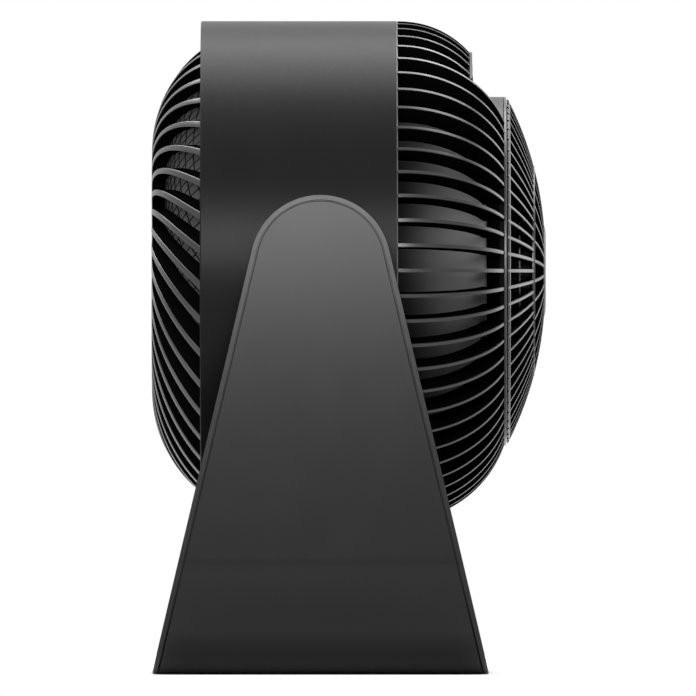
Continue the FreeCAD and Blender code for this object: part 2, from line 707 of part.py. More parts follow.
def heater_fins():
    packs = []
    step = 2 * HEATER_HALF_WIDTH / HEATER_FIN_COUNT
    for index in range(HEATER_BAR_COUNT + 1):
        bottom = -HEATER_HALF_HEIGHT + index * HEATER_PITCH
        top = bottom + HEATER_PACK_HEIGHT
        pieces = [box(both_ways(HEATER_HALF_WIDTH), HEATER_SPAN, (bottom, bottom + HEATER_STRIP)),
                  box(both_ways(HEATER_HALF_WIDTH), HEATER_SPAN, (top - HEATER_STRIP, top))]
        for fin in range(HEATER_FIN_COUNT):
            middle = -HEATER_HALF_WIDTH + (fin + 0.5) * step
            limits = (middle - HEATER_FIN_THICKNESS / 2, middle + HEATER_FIN_THICKNESS / 2)
            pieces.append(box(limits, HEATER_SPAN, (bottom, top)))
        packs.append(joined(pieces))
    return Part.makeCompound(packs)


def thermal_cutout():
    front = HEATER_PLACE + HEATER_PLATE
    foot = meridian(front + CUTOUT_LENGTH, CUTOUT_HEIGHT)
    return Part.makeCylinder(CUTOUT_RADIUS, CUTOUT_LENGTH, foot, ALONG_Y)


# Motor and fan

MOTOR_BORE = MOTOR_RADIUS - MOTOR_WALL
STATOR_RADIUS = MOTOR_BORE - SLIP
STATOR_BORE = STATOR_RADIUS - STATOR_WALL
CORE_MIDDLE = (MOTOR_REAR + MOTOR_FRONT) / 2
CORE_REAR = CORE_MIDDLE - CORE_LENGTH / 2
CORE_FRONT = CORE_MIDDLE + CORE_LENGTH / 2
BEARING_SEAT = BEARING_RADIUS + RUNNING_FIT


def motor_can():
    boss_front = MOTOR_FRONT + BEARING_LENGTH / 2
    return turned(outline(
        meridian,
        (MOTOR_REAR, MOTOR_BORE), (MOTOR_REAR, MOTOR_RADIUS), (MOTOR_FRONT, MOTOR_RADIUS),
        (MOTOR_FRONT, BEARING_SEAT + MOTOR_WALL), (boss_front, BEARING_SEAT + MOTOR_WALL),
        (boss_front, BEARING_SEAT), (MOTOR_FRONT - MOTOR_WALL, BEARING_SEAT),
        (MOTOR_FRONT - MOTOR_WALL, MOTOR_BORE)))


def motor_end_cap():
    boss_rear = MOTOR_REAR - BEARING_LENGTH / 2
    return turned(outline(
        meridian,
        (MOTOR_REAR, MOTOR_RADIUS), (MOTOR_REAR - MOTOR_WALL, MOTOR_RADIUS),
        (MOTOR_REAR - MOTOR_WALL, BEARING_SEAT + MOTOR_WALL), (boss_rear, BEARING_SEAT + MOTOR_WALL),
        (boss_rear, BEARING_SEAT), (MOTOR_REAR, BEARING_SEAT)))


def bearing(middle):
    half = BEARING_LENGTH / 2
    return ring(middle - half, middle + half, SHAFT_RADIUS + RUNNING_FIT, BEARING_RADIUS)


def stator_windings():
    inner = STATOR_BORE + ROTOR_GAP
    outer = STATOR_RADIUS - ROTOR_GAP
    return Part.makeCompound([
        ring(CORE_REAR - WINDING_LENGTH, CORE_REAR, inner, outer),
        ring(CORE_FRONT, CORE_FRONT + WINDING_LENGTH, inner, outer)])


def motor_mount():
    front = DUCT_REAR
    hub = ring(MOUNT_REAR, front, MOTOR_RADIUS + SLIP, MOTOR_RADIUS + SLIP + MOUNT_RING_WALL)
    duct_ring = ring(front - MOUNT_ARM_DEPTH, front, DUCT_RADIUS - MOUNT_RING_WALL, DUCT_RADIUS)
    rim = ring(MOUNT_REAR, front, DRUM_BORE - SLIP - MOUNT_RING_WALL, DRUM_BORE - SLIP)
    arm = box(both_ways(MOUNT_ARM_WIDTH / 2), (-front, -front + MOUNT_ARM_DEPTH),
              (MOTOR_RADIUS + MOUNT_RING_WALL / 2, DRUM_BORE - MOUNT_RING_WALL / 2))
    boss_room = [rod(side, DRUM_BORE - PIN_GRIP, DRUM_RADIUS, BOSS_RADIUS + SLIP) for side in SIDES.values()]
    arms = around(arm, MOUNT_ARM_COUNT)
    return joined([hub, duct_ring, rim] + arms).cut(boss_room)


def fan_blade():
    """One twisted blade, from its root inside the hub to its tip."""
    sections = []
    for radius, chord, pitch in ((FAN_HUB_RADIUS - FAN_HUB_WALL / 2, FAN_ROOT_CHORD, FAN_ROOT_PITCH),
                                 (FAN_RADIUS + OVERRUN, FAN_TIP_CHORD, FAN_TIP_PITCH)):
        half_chord = chord / 2
        half_wall = FAN_BLADE_THICKNESS / 2
        section = Part.makePolygon([
            Vector(-half_wall, -half_chord, radius), Vector(half_wall, -half_chord, radius),
            Vector(half_wall, half_chord, radius), Vector(-half_wall, half_chord, radius),
            Vector(-half_wall, -half_chord, radius)])
        section.rotate(Vector(0, 0, radius), ALONG_Z, pitch)
        sections.append(section)
    blade = Part.makeLoft(sections, True, True)
    blade.translate(meridian((FAN_FRONT + FAN_BACK) / 2, 0))
    return blade.common(disc(FAN_BACK - OVERRUN, FAN_FRONT + OVERRUN, FAN_RADIUS))


def impeller():
    bore = SHAFT_RADIUS + RUNNING_FIT
    boss = bore + FAN_HUB_WALL
    cup = turned(outline(
        meridian,
        (FAN_BACK, bore), (FAN_BACK, FAN_HUB_RADIUS), (FAN_FRONT, FAN_HUB_RADIUS),
        (FAN_FRONT, FAN_HUB_RADIUS - FAN_HUB_WALL), (FAN_BACK + FAN_HUB_WALL, FAN_HUB_RADIUS - FAN_HUB_WALL),
        (FAN_BACK + FAN_HUB_WALL, boss), (FAN_FRONT, boss), (FAN_FRONT, bore)))
    inside = disc(FAN_BACK - OVERRUN, FAN_FRONT + OVERRUN, FAN_HUB_RADIUS - FAN_HUB_WALL / 2)
    blades = around(fan_blade().cut(inside), FAN_BLADE_COUNT)
    return joined([cup] + blades)


def impeller_nut():
    corners = [meridian(FAN_BACK, 0) + Vector(NUT_RADIUS * math.cos(math.radians(60 * index)), 0,
                                              NUT_RADIUS * math.sin(math.radians(60 * index)))
               for index in range(7)]
    hexagon = Part.Face(Part.makePolygon(corners)).extrude(Vector(0, NUT_LENGTH, 0))
    return hexagon.cut(disc(FAN_BACK - NUT_LENGTH - SLIP, FAN_BACK + SLIP, SHAFT_RADIUS + RUNNING_FIT))


# Stand

def leg_side(inset, bottom):
    """The leg seen from the side, set in from its edge: a round top on two sloping edges."""
    radius = LEG_TOP_RADIUS - inset
    touch = (radius * math.cos(LEG_SLOPE), LEG_TOP_CENTRE + radius * math.sin(LEG_SLOPE))
    foot = touch[0] + (touch[1] - bottom) * math.tan(LEG_SLOPE)
    return outline(side_on, (-foot, bottom), (foot, bottom), touch,
                   ((0, LEG_TOP_CENTRE + radius), (-touch[0], touch[1])))


def leg_prism(inset, bottom=BASE_BOTTOM):
    wide = LEG_OUTER_TOP + BASE_CORNER_RADIUS
    prism = leg_side(inset, bottom).extrude(Vector(2 * wide, 0, 0))
    prism.translate(Vector(-wide, 0, 0))
    return prism


def cup(top_across, bottom, corner):
    """A U-shaped block seen from the front: leaning sides, round lower corners, flat bottom."""
    top = LEG_TOP + OVERRUN
    middle = bottom + corner
    side_here = top_across + (LEG_TOP - middle) * math.tan(LEAN)
    corner_across = side_here - corner / math.cos(LEAN)
    touch = (corner_across + corner * math.cos(LEAN), middle + corner * math.sin(LEAN))
    turn = math.radians(-45)
    belly = (corner_across + corner * math.cos(turn), middle + corner * math.sin(turn))
    foot = (corner_across, bottom)
    brim = (top_across - OVERRUN * math.tan(LEAN), top)

    def mirrored(point):
        return (-point[0], point[1])

    face = outline(front_on, mirrored(brim), mirrored(touch), (mirrored(belly), mirrored(foot)), foot,
                   (belly, touch), brim)
    block = face.extrude(Vector(0, 4 * LEG_HALF_DEPTH, 0))
    block.translate(Vector(0, -2 * LEG_HALF_DEPTH, 0))
    return block


def outer_cup(inset):
    return cup(LEG_OUTER_TOP - inset / math.cos(LEAN), BASE_BOTTOM + inset, BASE_CORNER_RADIUS - inset)


LEG_SPREAD = (LEG_TOP - BASE_CORNER_RADIUS) * math.tan(LEAN)
BASE_FLAT = LEG_OUTER_TOP + LEG_SPREAD - BASE_CORNER_RADIUS / math.cos(LEAN)
CAVITY_TOP = BASE_TOP - BASE_ROOF
PLATE_TOP = BASE_BOTTOM + BASE_PLATE
GLAND_HEIGHT = (PLATE_TOP + CAVITY_TOP) / 2
PLATE_HALF_WIDTH = BASE_FLAT - SLIP
CAVITY_HALF_WIDTH = PLATE_HALF_WIDTH - BASE_SHOULDER
CAVITY_HALF_DEPTH = LEG_HALF_DEPTH - BASE_TOP * math.tan(LEG_SLOPE) - BASE_SIDE_WALL
PLATE_HALF_DEPTH = CAVITY_HALF_DEPTH + BASE_SHOULDER
COVER_END = BASE_FLAT + LEG_LEDGE
SCREW_PLACES = [(x, y) for x in both_ways(CAVITY_HALF_WIDTH - SCREW_INSET)
                for y in both_ways(CAVITY_HALF_DEPTH - SCREW_INSET)]
FOOT_PLACES = [(0, 0)] + [(x, y) for x in both_ways(PLATE_HALF_WIDTH - FOOT_INSET)
                          for y in both_ways(PLATE_HALF_DEPTH - FOOT_INSET)]


def beyond(across, side):
    """Everything outside a distance from the middle, on one side of the stand."""
    far = LEG_OUTER_TOP + BASE_CORNER_RADIUS
    limits = (across, far) if side > 0 else (-far, -across)
    return box(limits, both_ways(2 * LEG_HALF_DEPTH), (0, LEG_TOP + 2 * OVERRUN))


def stand_yoke():
    inner = cup(LEG_INNER_TOP, BASE_TOP, BASE_INNER_CORNER)
    frame = outer_cup(0.0).cut(inner).common(leg_prism(0.0))
    leg_bosses = []
    bores = []
    for side in SIDES.values():
        seat_skin = leg_prism(LEG_RIM).cut(outer_cup(LEG_COVER)).common(beyond(COVER_END, side))
        hollow_skin = leg_prism(LEG_RIM + LEG_LEDGE).common(outer_cup(LEG_COVER))
        hollow_skin = hollow_skin.cut(outer_cup(LEG_THICKNESS - LEG_INNER_WALL))
        hollow_skin = hollow_skin.common(beyond(COVER_END, side))
        hollow = hollow_skin.cut(box(both_ways(2 * LEG_OUTER_TOP), both_ways(2 * LEG_HALF_DEPTH),
                                     (0, BASE_TOP + BASE_INNER_CORNER)))
        frame = frame.cut([seat_skin, hollow])
        boss = rod(side, LEG_BOSS_FACE, LEG_BOSS_END, BOSS_RADIUS)
        bore_radius = PIN_RADIUS + RUNNING_FIT + BUSH_WALL + SLIP
        bore = rod(side, LEG_BOSS_FACE - OVERRUN, LEG_BOSS_END + SLIP, bore_radius)
        boss.translate(TO_HEAD)
        bore.translate(TO_HEAD)
        leg_bosses.append(boss)
        bores.append(bore)
    recess = box(both_ways(PLATE_HALF_WIDTH), both_ways(PLATE_HALF_DEPTH), (0, PLATE_TOP))
    cavity = box(both_ways(CAVITY_HALF_WIDTH), both_ways(CAVITY_HALF_DEPTH), (0, CAVITY_TOP))
    screw_bosses = [post(x, y, PLATE_TOP, CAVITY_TOP + BASE_ROOF / 2, SCREW_BOSS) for x, y in SCREW_PLACES]
    pilot_top = PLATE_TOP + SCREW_LENGTH
    pilots = [post(x, y, 0, pilot_top, SCREW_SHANK + RUNNING_FIT) for x, y in SCREW_PLACES]
    gland_place = Vector(GLAND_ASIDE, 0, GLAND_HEIGHT)
    gland_hole = Part.makeCylinder(GLAND_RADIUS + SLIP, LEG_HALF_DEPTH, gland_place, ALONG_Y)
    frame = frame.cut([recess, cavity, gland_hole])
    return joined([frame] + leg_bosses + screw_bosses).cut(bores + pilots)


def leg_cover(side):
    skin = leg_prism(LEG_RIM + LEG_GROOVE).common(outer_cup(0.0)).cut(outer_cup(LEG_COVER))
    return skin.common(beyond(COVER_END + LEG_GROOVE, side))


def base_plate():
    plate = box(both_ways(PLATE_HALF_WIDTH - SLIP), both_ways(PLATE_HALF_DEPTH - SLIP),
                (BASE_BOTTOM, PLATE_TOP))
    board_posts = [post(x, y, PLATE_TOP, PLATE_TOP + BOARD_POST_HEIGHT, POST_RADIUS * 2)
                   for x, y in BOARD_CORNERS]
    cuts = []
    for x, y in SCREW_PLACES:
        cuts.append(post(x, y, 0, PLATE_TOP + SLIP, SCREW_SHANK + SLIP))
        cuts.append(post(x, y, 0, BASE_BOTTOM + SCREW_HEAD_DEPTH + SLIP, SCREW_HEAD + SLIP))
    for x, y in FOOT_PLACES:
        cuts.append(post(x, y, 0, BASE_BOTTOM + FOOT_SEAT, FOOT_RADIUS + SLIP))
    return joined([plate] + board_posts).cut(cuts)


def rubber_feet():
    return Part.makeCompound([post(x, y, 0, BASE_BOTTOM + FOOT_SEAT, FOOT_RADIUS) for x, y in FOOT_PLACES])


def base_screws():
    screws = []
    shoulder = BASE_BOTTOM + SCREW_HEAD_DEPTH + SLIP
    for x, y in SCREW_PLACES:
        head = post(x, y, shoulder - SCREW_HEAD_DEPTH, shoulder, SCREW_HEAD)
        shank = post(x, y, shoulder, PLATE_TOP + SCREW_LENGTH - SLIP, SCREW_SHANK)
        screws.append(head.fuse(shank))
    return Part.makeCompound(screws)


BOARD_BOTTOM = PLATE_TOP + BOARD_POST_HEIGHT
BOARD_TOP = BOARD_BOTTOM + BOARD_THICKNESS
BOARD_CORNERS = [(x, y) for x in both_ways(BOARD_LENGTH / 2 - 2 * POST_RADIUS)
                 for y in both_ways(BOARD_WIDTH / 2 - 2 * POST_RADIUS)]


def power_board():
    board = box(both_ways(BOARD_LENGTH / 2), both_ways(BOARD_WIDTH / 2), (BOARD_BOTTOM, BOARD_TOP))
    length, width, height = RELAY_SIZE
    relays = []
    for index in range(2):
        left = -BOARD_LENGTH / 3 + index * length * 1.5
        relays.append(box((left, left + length), (0, width), (BOARD_TOP, BOARD_TOP + height)))
    return joined([board] + relays)


def tilt_switch():
    length, width, height = TILT_SWITCH_SIZE
    left = BOARD_LENGTH / 2 - length * 1.5
    return box((left, left + length), (-width, 0), (BOARD_TOP, BOARD_TOP + height))


def cord_gland():
    place = Vector(GLAND_ASIDE, CAVITY_HALF_DEPTH - GLAND_FLANGE, GLAND_HEIGHT)
    body = Part.makeCylinder(GLAND_RADIUS, LEG_HALF_DEPTH, place, ALONG_Y)
    flange = Part.makeCylinder(GLAND_RADIUS + GLAND_FLANGE, GLAND_FLANGE, place, ALONG_Y)
    bore = Part.makeCylinder(GLAND_BORE, 2 * LEG_HALF_DEPTH, place - ALONG_Y * GLAND_FLANGE, ALONG_Y)
    return body.fuse(flange).cut(bore).common(leg_prism(0.0))


# Tilt pivots

def pivot_bush(side):
    bore = PIN_RADIUS + RUNNING_FIT
    sleeve = rod(side, LEG_BOSS_FACE, LEG_BOSS_END, bore + BUSH_WALL)
    return sleeve.cut(rod(side, LEG_BOSS_FACE - SLIP, LEG_BOSS_END + SLIP, bore))


def pivot_pin(side):
    shank = rod(side, DRUM_BORE - PIN_GRIP / 2, LEG_BOSS_END + MOVING_GAP, PIN_RADIUS)
    head_face = LEG_BOSS_END + MOVING_GAP
    head = rod(side, head_face, head_face + PIN_HEAD_THICKNESS, PIN_HEAD_RADIUS)
    return shank.fuse(head)


def friction_washer(side):
    washer = rod(side, BOSS_FACE, WASHER_FACE, BOSS_RADIUS)
    return washer.cut(rod(side, BOSS_FACE - SLIP, WASHER_FACE + SLIP, PIN_RADIUS + SLIP))


# Assembly

keep("drum_housing", drum_housing(), in_head=True)
keep("front_grille", front_grille(), in_head=True)
keep("centre_grille", centre_grille(), in_head=True)
keep("outlet_screen", outlet_screen(), in_head=True)
keep("control_panel", control_panel(), in_head=True)
keep("display_window", display_window(), in_head=True)
keep("control_board", control_board(), in_head=True)
for button_name, button_angle in BUTTON_ANGLES.items():
    keep(button_name, button(button_angle), in_head=True)
keep("rear_grille", rear_grille(), in_head=True)
keep("dust_screen", dust_screen(), in_head=True)
keep("inner_duct", inner_duct(), in_head=True)
keep("heater_frame", heater_frame(), in_head=True)
keep("heater_bars", heater_bars(), in_head=True)
keep("heater_fins", heater_fins(), in_head=True)
keep("thermal_cutout", thermal_cutout(), in_head=True)
keep("motor_mount", motor_mount(), in_head=True)
keep("motor_can", motor_can(), in_head=True)
keep("motor_end_cap", motor_end_cap(), in_head=True)
keep("stator_core", ring(CORE_REAR, CORE_FRONT, STATOR_BORE, STATOR_RADIUS), in_head=True)
keep("stator_windings", stator_windings(), in_head=True)
keep("bearing_front", bearing(MOTOR_FRONT), in_head=True)
keep("bearing_rear", bearing(MOTOR_REAR), in_head=True)
keep("motor_shaft", disc(FAN_BACK - NUT_LENGTH, MOTOR_FRONT + BEARING_LENGTH, SHAFT_RADIUS), in_head=True)
keep("rotor_core", ring(CORE_REAR, CORE_FRONT, SHAFT_RADIUS + RUNNING_FIT, STATOR_BORE - ROTOR_GAP),
     in_head=True)
keep("impeller", impeller(), in_head=True)
keep("impeller_nut", impeller_nut(), in_head=True)
for side_name, side_sign in SIDES.items():
    keep("pivot_pin_" + side_name, pivot_pin(side_sign), in_head=True)
    keep("friction_washer_" + side_name, friction_washer(side_sign), in_head=True)
    keep("pivot_bush_" + side_name, pivot_bush(side_sign), in_head=True)
    keep("leg_cover_" + side_name, leg_cover(side_sign))
keep("stand_yoke", stand_yoke())
keep("base_plate", base_plate())
keep("rubber_feet", rubber_feet())
keep("base_screws", base_screws())
keep("cord_gland", cord_gland())
keep("power_board", power_board())
keep("tilt_switch", tilt_switch())

os.makedirs("parts", exist_ok=True)
for part_name, part_shape in PARTS.items():
    part_shape.exportStep("parts/" + part_name + ".step")
    print(part_name, len(part_shape.Solids), "solid(s)", round(part_shape.Volume / 1000, 2), "cm3",
          "valid" if part_shape.isValid() else "NOT VALID")
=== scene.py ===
# %% [markdown]
# # Fan heater with a tilting drum head
# A drum with ribbed, domed grilles at both ends tilts between the two legs of a U-shaped stand. The packed
# solids give every size and place. This lesson dresses them: the ribs get rounded edges, the screens get
# nets, and each plastic, metal and rubber gets a finish of its own.

# %% Load the solids
import json
import math

import bmesh
import bpy
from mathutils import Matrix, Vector


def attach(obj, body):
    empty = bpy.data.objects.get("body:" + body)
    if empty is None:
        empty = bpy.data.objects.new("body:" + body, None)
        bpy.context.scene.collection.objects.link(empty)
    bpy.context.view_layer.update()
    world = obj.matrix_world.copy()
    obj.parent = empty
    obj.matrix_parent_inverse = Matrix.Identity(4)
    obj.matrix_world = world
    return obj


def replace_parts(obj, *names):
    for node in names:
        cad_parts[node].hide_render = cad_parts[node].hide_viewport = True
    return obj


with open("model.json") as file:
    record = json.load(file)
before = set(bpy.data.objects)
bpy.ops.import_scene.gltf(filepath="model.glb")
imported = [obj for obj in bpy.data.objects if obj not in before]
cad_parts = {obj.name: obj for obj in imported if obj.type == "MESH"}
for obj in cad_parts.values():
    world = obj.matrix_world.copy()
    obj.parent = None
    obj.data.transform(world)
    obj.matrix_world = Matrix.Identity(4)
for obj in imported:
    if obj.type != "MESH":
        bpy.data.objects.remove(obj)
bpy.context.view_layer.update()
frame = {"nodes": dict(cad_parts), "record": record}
nodes = frame["nodes"]

# %% [markdown]
# ## Camera
# The photograph looks straight at the side of the heater from far away, so nothing tapers. An orthographic
# camera would do that too, but a very long lens keeps nearly the same look and still frames the object in any
# other view. The picture is 348 mm wide between the near leg and the middle of the drum, so that neither is
# off by more than about a pixel.

# %% Camera
MM = 0.001
LENS = 1700.0
SENSOR = 36.0
FAR_CLIP = 100.0
PICTURE_WIDTH = 348 * MM
PICTURE_CENTRE = Vector((-30 * MM, -13.65 * MM, 162.5 * MM))

camera_data = bpy.data.cameras.new("camera")
camera_data.lens = LENS
camera_data.sensor_width = SENSOR
camera_data.clip_end = FAR_CLIP
camera = bpy.data.objects.new("camera", camera_data)
camera.location = PICTURE_CENTRE - Vector((PICTURE_WIDTH * LENS / SENSOR, 0, 0))
camera.rotation_euler = (math.pi / 2, 0, -math.pi / 2)
bpy.context.scene.collection.objects.link(camera)
bpy.context.scene.camera = camera
print("camera stands", round(-camera.location.x, 2), "m away")

# %% [markdown]
# ## Floor, surroundings and lamps
# Black plastic shows its surroundings more than its own colour, so the studio is most of the look. The floor
# and the background are white to the camera and in mirrors, and give little light of their own, and the glow
# of the floor is darkened into a painted shadow where the heater stands close over it. Six soft lamps do the
# rest: one overhead and a little beyond the heater, which draws the bright band near the top of the drum, one
# beside the camera, whose lower edge the legs mirror as a slow fade, one each before and behind the heater
# for the edges of the ribs, and one at each of two corners, for the faces of the rear ribs and of the centre
# ribs. A single large lamp would light everything alike.

# %% Node helpers
def feed(tree, socket, value):
    """Sets a socket to a value, or links another node's output to it."""
    if isinstance(value, bpy.types.NodeSocket):
        tree.links.new(value, socket)
    else:
        socket.default_value = value


def add(tree, kind, sockets=None, **options):
    """One node of a tree, with its options set and its sockets fed, by name or number."""
    node = tree.nodes.new(kind)
    for option, value in options.items():
        setattr(node, option, value)
    for label, value in (sockets or {}).items():
        feed(tree, node.inputs[label], value)
    return node


def sums(tree, operation, first, second=0.0, third=0.0):
    """The result of a Math node."""
    return add(tree, "ShaderNodeMath", {0: first, 1: second, 2: third}, operation=operation).outputs[0]


def grey_colour(tone):
    return (tone, tone, tone, 1)


print("node helpers ready")

# %% Surroundings
AMBIENT = 0.16


def seen_directly(tree):
    """1 for what the camera, a mirror or glass sees, and 0 for light that falls on a surface."""
    path = add(tree, "ShaderNodeLightPath").outputs
    mirrored = sums(tree, "MAXIMUM", path["Is Glossy Ray"], path["Is Transmission Ray"])
    return sums(tree, "MAXIMUM", path["Is Camera Ray"], mirrored)


bpy.context.scene.view_settings.view_transform = "Standard"
world = bpy.data.worlds.new("studio")
bpy.context.scene.world = world
world.use_nodes = True
tree = world.node_tree
tree.nodes.clear()
white = add(tree, "ShaderNodeBackground", {"Color": grey_colour(1)})
ambient = add(tree, "ShaderNodeBackground", {"Strength": AMBIENT})
background = add(tree, "ShaderNodeMixShader", {0: seen_directly(tree), 1: ambient.outputs[0],
                                               2: white.outputs[0]})
add(tree, "ShaderNodeOutputWorld", {"Surface": background.outputs[0]})
print("surroundings: white to look at,", AMBIENT, "as light")

# %% Floor
FLOOR_REACH = 1.0
FLOOR_SIDES = 96
FLOOR_GLOW = 0.96
FLOOR_PAPER = 0.25
SHADE_REACH = 0.018
SHADE_SAMPLES = 8

floor_mesh = bpy.data.meshes.new("floor")
shape = bmesh.new()
bmesh.ops.create_circle(shape, cap_ends=True, segments=FLOOR_SIDES, radius=FLOOR_REACH)
shape.to_mesh(floor_mesh)
shape.free()
floor = bpy.data.objects.new("floor", floor_mesh)
bpy.context.scene.collection.objects.link(floor)
paper = bpy.data.materials.new("floor_paper")
paper.use_nodes = True
tree = paper.node_tree
tree.nodes.clear()
matt = add(tree, "ShaderNodeBsdfDiffuse", {"Color": grey_colour(FLOOR_PAPER)})
# The glow is darkened by ambient occlusion near the heater: a painted contact shadow.
shade = add(tree, "ShaderNodeAmbientOcclusion", {"Distance": SHADE_REACH}, samples=SHADE_SAMPLES)
glow_with_painted_shadow = sums(tree, "MULTIPLY", shade.outputs["AO"], FLOOR_GLOW)
glow = add(tree, "ShaderNodeEmission", {"Strength": sums(tree, "MULTIPLY", seen_directly(tree), glow_with_painted_shadow)})
both = add(tree, "ShaderNodeAddShader", {0: matt.outputs[0], 1: glow.outputs[0]})
add(tree, "ShaderNodeOutputMaterial", {"Surface": both.outputs[0]})
floor_mesh.materials.append(paper)
print("floor:", FLOOR_REACH, "m around the heater")


# %% Lamps
def softbox(name, place, target, width, height, watts):
    """A rectangular lamp at a place, turned to a target. Lengths are in metres."""
    lamp = bpy.data.lights.new(name, "AREA")
    lamp.shape = "RECTANGLE"
    lamp.size = width
    lamp.size_y = height
    lamp.energy = watts
    holder = bpy.data.objects.new(name, lamp)
    holder.location = place
    holder.rotation_euler = (Vector(target) - Vector(place)).to_track_quat("-Z", "Y").to_euler()
    holder.visible_camera = False
    bpy.context.scene.collection.objects.link(holder)
    print("lamp", name, watts, "W")


softbox("overhead_softbox", (0.32, 0.0, 1.1), (0.2, 0, 0.3), width=0.75, height=0.7, watts=8.2)
softbox("side_softbox", (-0.8, 0.06, 0.41), (0, 0.06, 0.36), width=0.36, height=0.3, watts=4.4)
softbox("corner_softbox", (-0.8, 0.6, 0.25), (0, 0, 0.2), width=0.5, height=0.5, watts=3.4)
softbox("far_corner_softbox", (0.8, -1.3, 0.5), (0, -0.1, 0.3), width=1.2, height=1.0, watts=8.3)
softbox("front_softbox", (0.35, -0.5, 1.05), (0.35, 0, 0.2), width=1.4, height=0.5, watts=11.0)
softbox("rear_softbox", (0.35, 0.5, 1.05), (0.35, 0, 0.2), width=1.4, height=0.5, watts=13.0)

# %% [markdown]
# ## Finishes
# Nearly everything here is moulded plastic, so one shader group gives what all moulded faces share: a fine
# even grain, slow changes of tone and gloss from the mould, and a trace of dust on faces that look up.
# Painting each piece by hand would take longer and would not follow a change of shape. A second group gives
# the streaks of drawn and turned metal. The Principled shader itself stays in each material.

# %% Helpers for node groups
SURFACE = (("Colour", "Color"), ("Roughness", "Float"), ("Height", "Float"))


def new_group(name, kind, inputs, outputs):
    """An empty node group with named inputs, some with a value, and named outputs."""
    group = bpy.data.node_groups.new(name, kind)
    for label, socket, value in inputs:
        made = group.interface.new_socket(name=label, in_out="INPUT", socket_type="NodeSocket" + socket)
        if value is not None:
            made.default_value = value
    for label, socket in outputs:
        group.interface.new_socket(name=label, in_out="OUTPUT", socket_type="NodeSocket" + socket)
    return group


def noise(tree, place, scale, detail=2.0):
    node = add(tree, "ShaderNodeTexNoise", {"Vector": place, "Scale": scale, "Detail": detail})
    return node.outputs["Fac"]


def blend(tree, amount, first, second):
    """A colour between two others, which are sockets 6 and 7 of the node."""
    return add(tree, "ShaderNodeMix", {0: amount, 6: first, 7: second}, data_type="RGBA").outputs[2]


print("each finish has", len(SURFACE), "outputs")

# %% Shader group for moulded faces
GRAIN_SCALE = 2500.0
TONE_SCALE = 28.0
TONE_SWING = 0.5
SMUDGE_SCALE = 60.0
SMUDGE_SWING = 0.048
DUST = 0.05
DUST_SCALE = 420.0
DUST_FADE = 3.0
DUST_COLOUR = (0.32, 0.31, 0.3, 1)
DUST_ROUGHNESS = 0.5


def moulded_group():
    inputs = (("Colour", "Color", grey_colour(0.02)), ("Roughness", "Float", 0.5),
              ("Unevenness", "Float", SMUDGE_SWING), ("Grain Scale", "Float", GRAIN_SCALE),
              ("Dust", "Float", DUST))
    group = new_group("moulded_face", "ShaderNodeTree", inputs, SURFACE)
    given = add(group, "NodeGroupInput").outputs
    place = add(group, "ShaderNodeTexCoord").outputs["Object"]
    change = sums(group, "MULTIPLY_ADD", noise(group, place, TONE_SCALE), TONE_SWING, -TONE_SWING / 2)
    value = sums(group, "ADD", change, 1.0)
    toned = add(group, "ShaderNodeHueSaturation", {"Color": given["Colour"], "Value": value})
    normal = add(group, "ShaderNodeNewGeometry").outputs["Normal"]
    facing = add(group, "ShaderNodeSeparateXYZ", {0: normal})
    upward = sums(group, "POWER", sums(group, "MAXIMUM", facing.outputs["Z"], 0.0), DUST_FADE)
    specks = sums(group, "MULTIPLY", upward, noise(group, place, DUST_SCALE, detail=4.0))
    dusty = sums(group, "MULTIPLY", specks, given["Dust"])
    smudge = sums(group, "SUBTRACT", noise(group, place, SMUDGE_SCALE, detail=3.0), 0.5)
    uneven = sums(group, "MULTIPLY", smudge, given["Unevenness"])
    rough = sums(group, "ADD", given["Roughness"], uneven)
    add(group, "NodeGroupOutput", {
        "Colour": blend(group, dusty, toned.outputs["Color"], DUST_COLOUR),
        "Roughness": sums(group, "ADD", rough, sums(group, "MULTIPLY", dusty, DUST_ROUGHNESS)),
        "Height": noise(group, place, given["Grain Scale"], detail=3.0)})
    return group


MOULDED = moulded_group()
print("group:", MOULDED.name, len(MOULDED.nodes), "nodes")

# %% Shader group for drawn metal
STREAKS = (40.0, 900.0, 900.0)
STREAK_ROUGHNESS = 0.2
TARNISH_SCALE = 90.0
TARNISH_VALUE = 0.72


def drawn_group():
    inputs = (("Colour", "Color", grey_colour(0.6)), ("Roughness", "Float", 0.3),
              ("Streaks", "Vector", STREAKS))
    group = new_group("drawn_metal", "ShaderNodeTree", inputs, SURFACE)
    given = add(group, "NodeGroupInput").outputs
    place = add(group, "ShaderNodeTexCoord").outputs["Object"]
    long_way = add(group, "ShaderNodeVectorMath", {0: place, 1: given["Streaks"]}, operation="MULTIPLY")
    streaks = noise(group, long_way.outputs[0], 1.0, detail=3.0)
    tarnish = noise(group, place, TARNISH_SCALE, detail=4.0)
    darker = add(group, "ShaderNodeHueSaturation", {"Color": given["Colour"], "Value": TARNISH_VALUE})
    add(group, "NodeGroupOutput", {
        "Colour": blend(group, tarnish, given["Colour"], darker.outputs["Color"]),
        "Roughness": sums(group, "MULTIPLY_ADD", streaks, STREAK_ROUGHNESS, given["Roughness"]),
        "Height": streaks})
    return group


DRAWN = drawn_group()
print("group:", DRAWN.name, len(DRAWN.nodes), "nodes")

# %% One material from a group
BUMP_STRENGTH = 0.35
PLASTIC_BUMP = 0.03 * MM
METAL_BUMP = 0.02 * MM


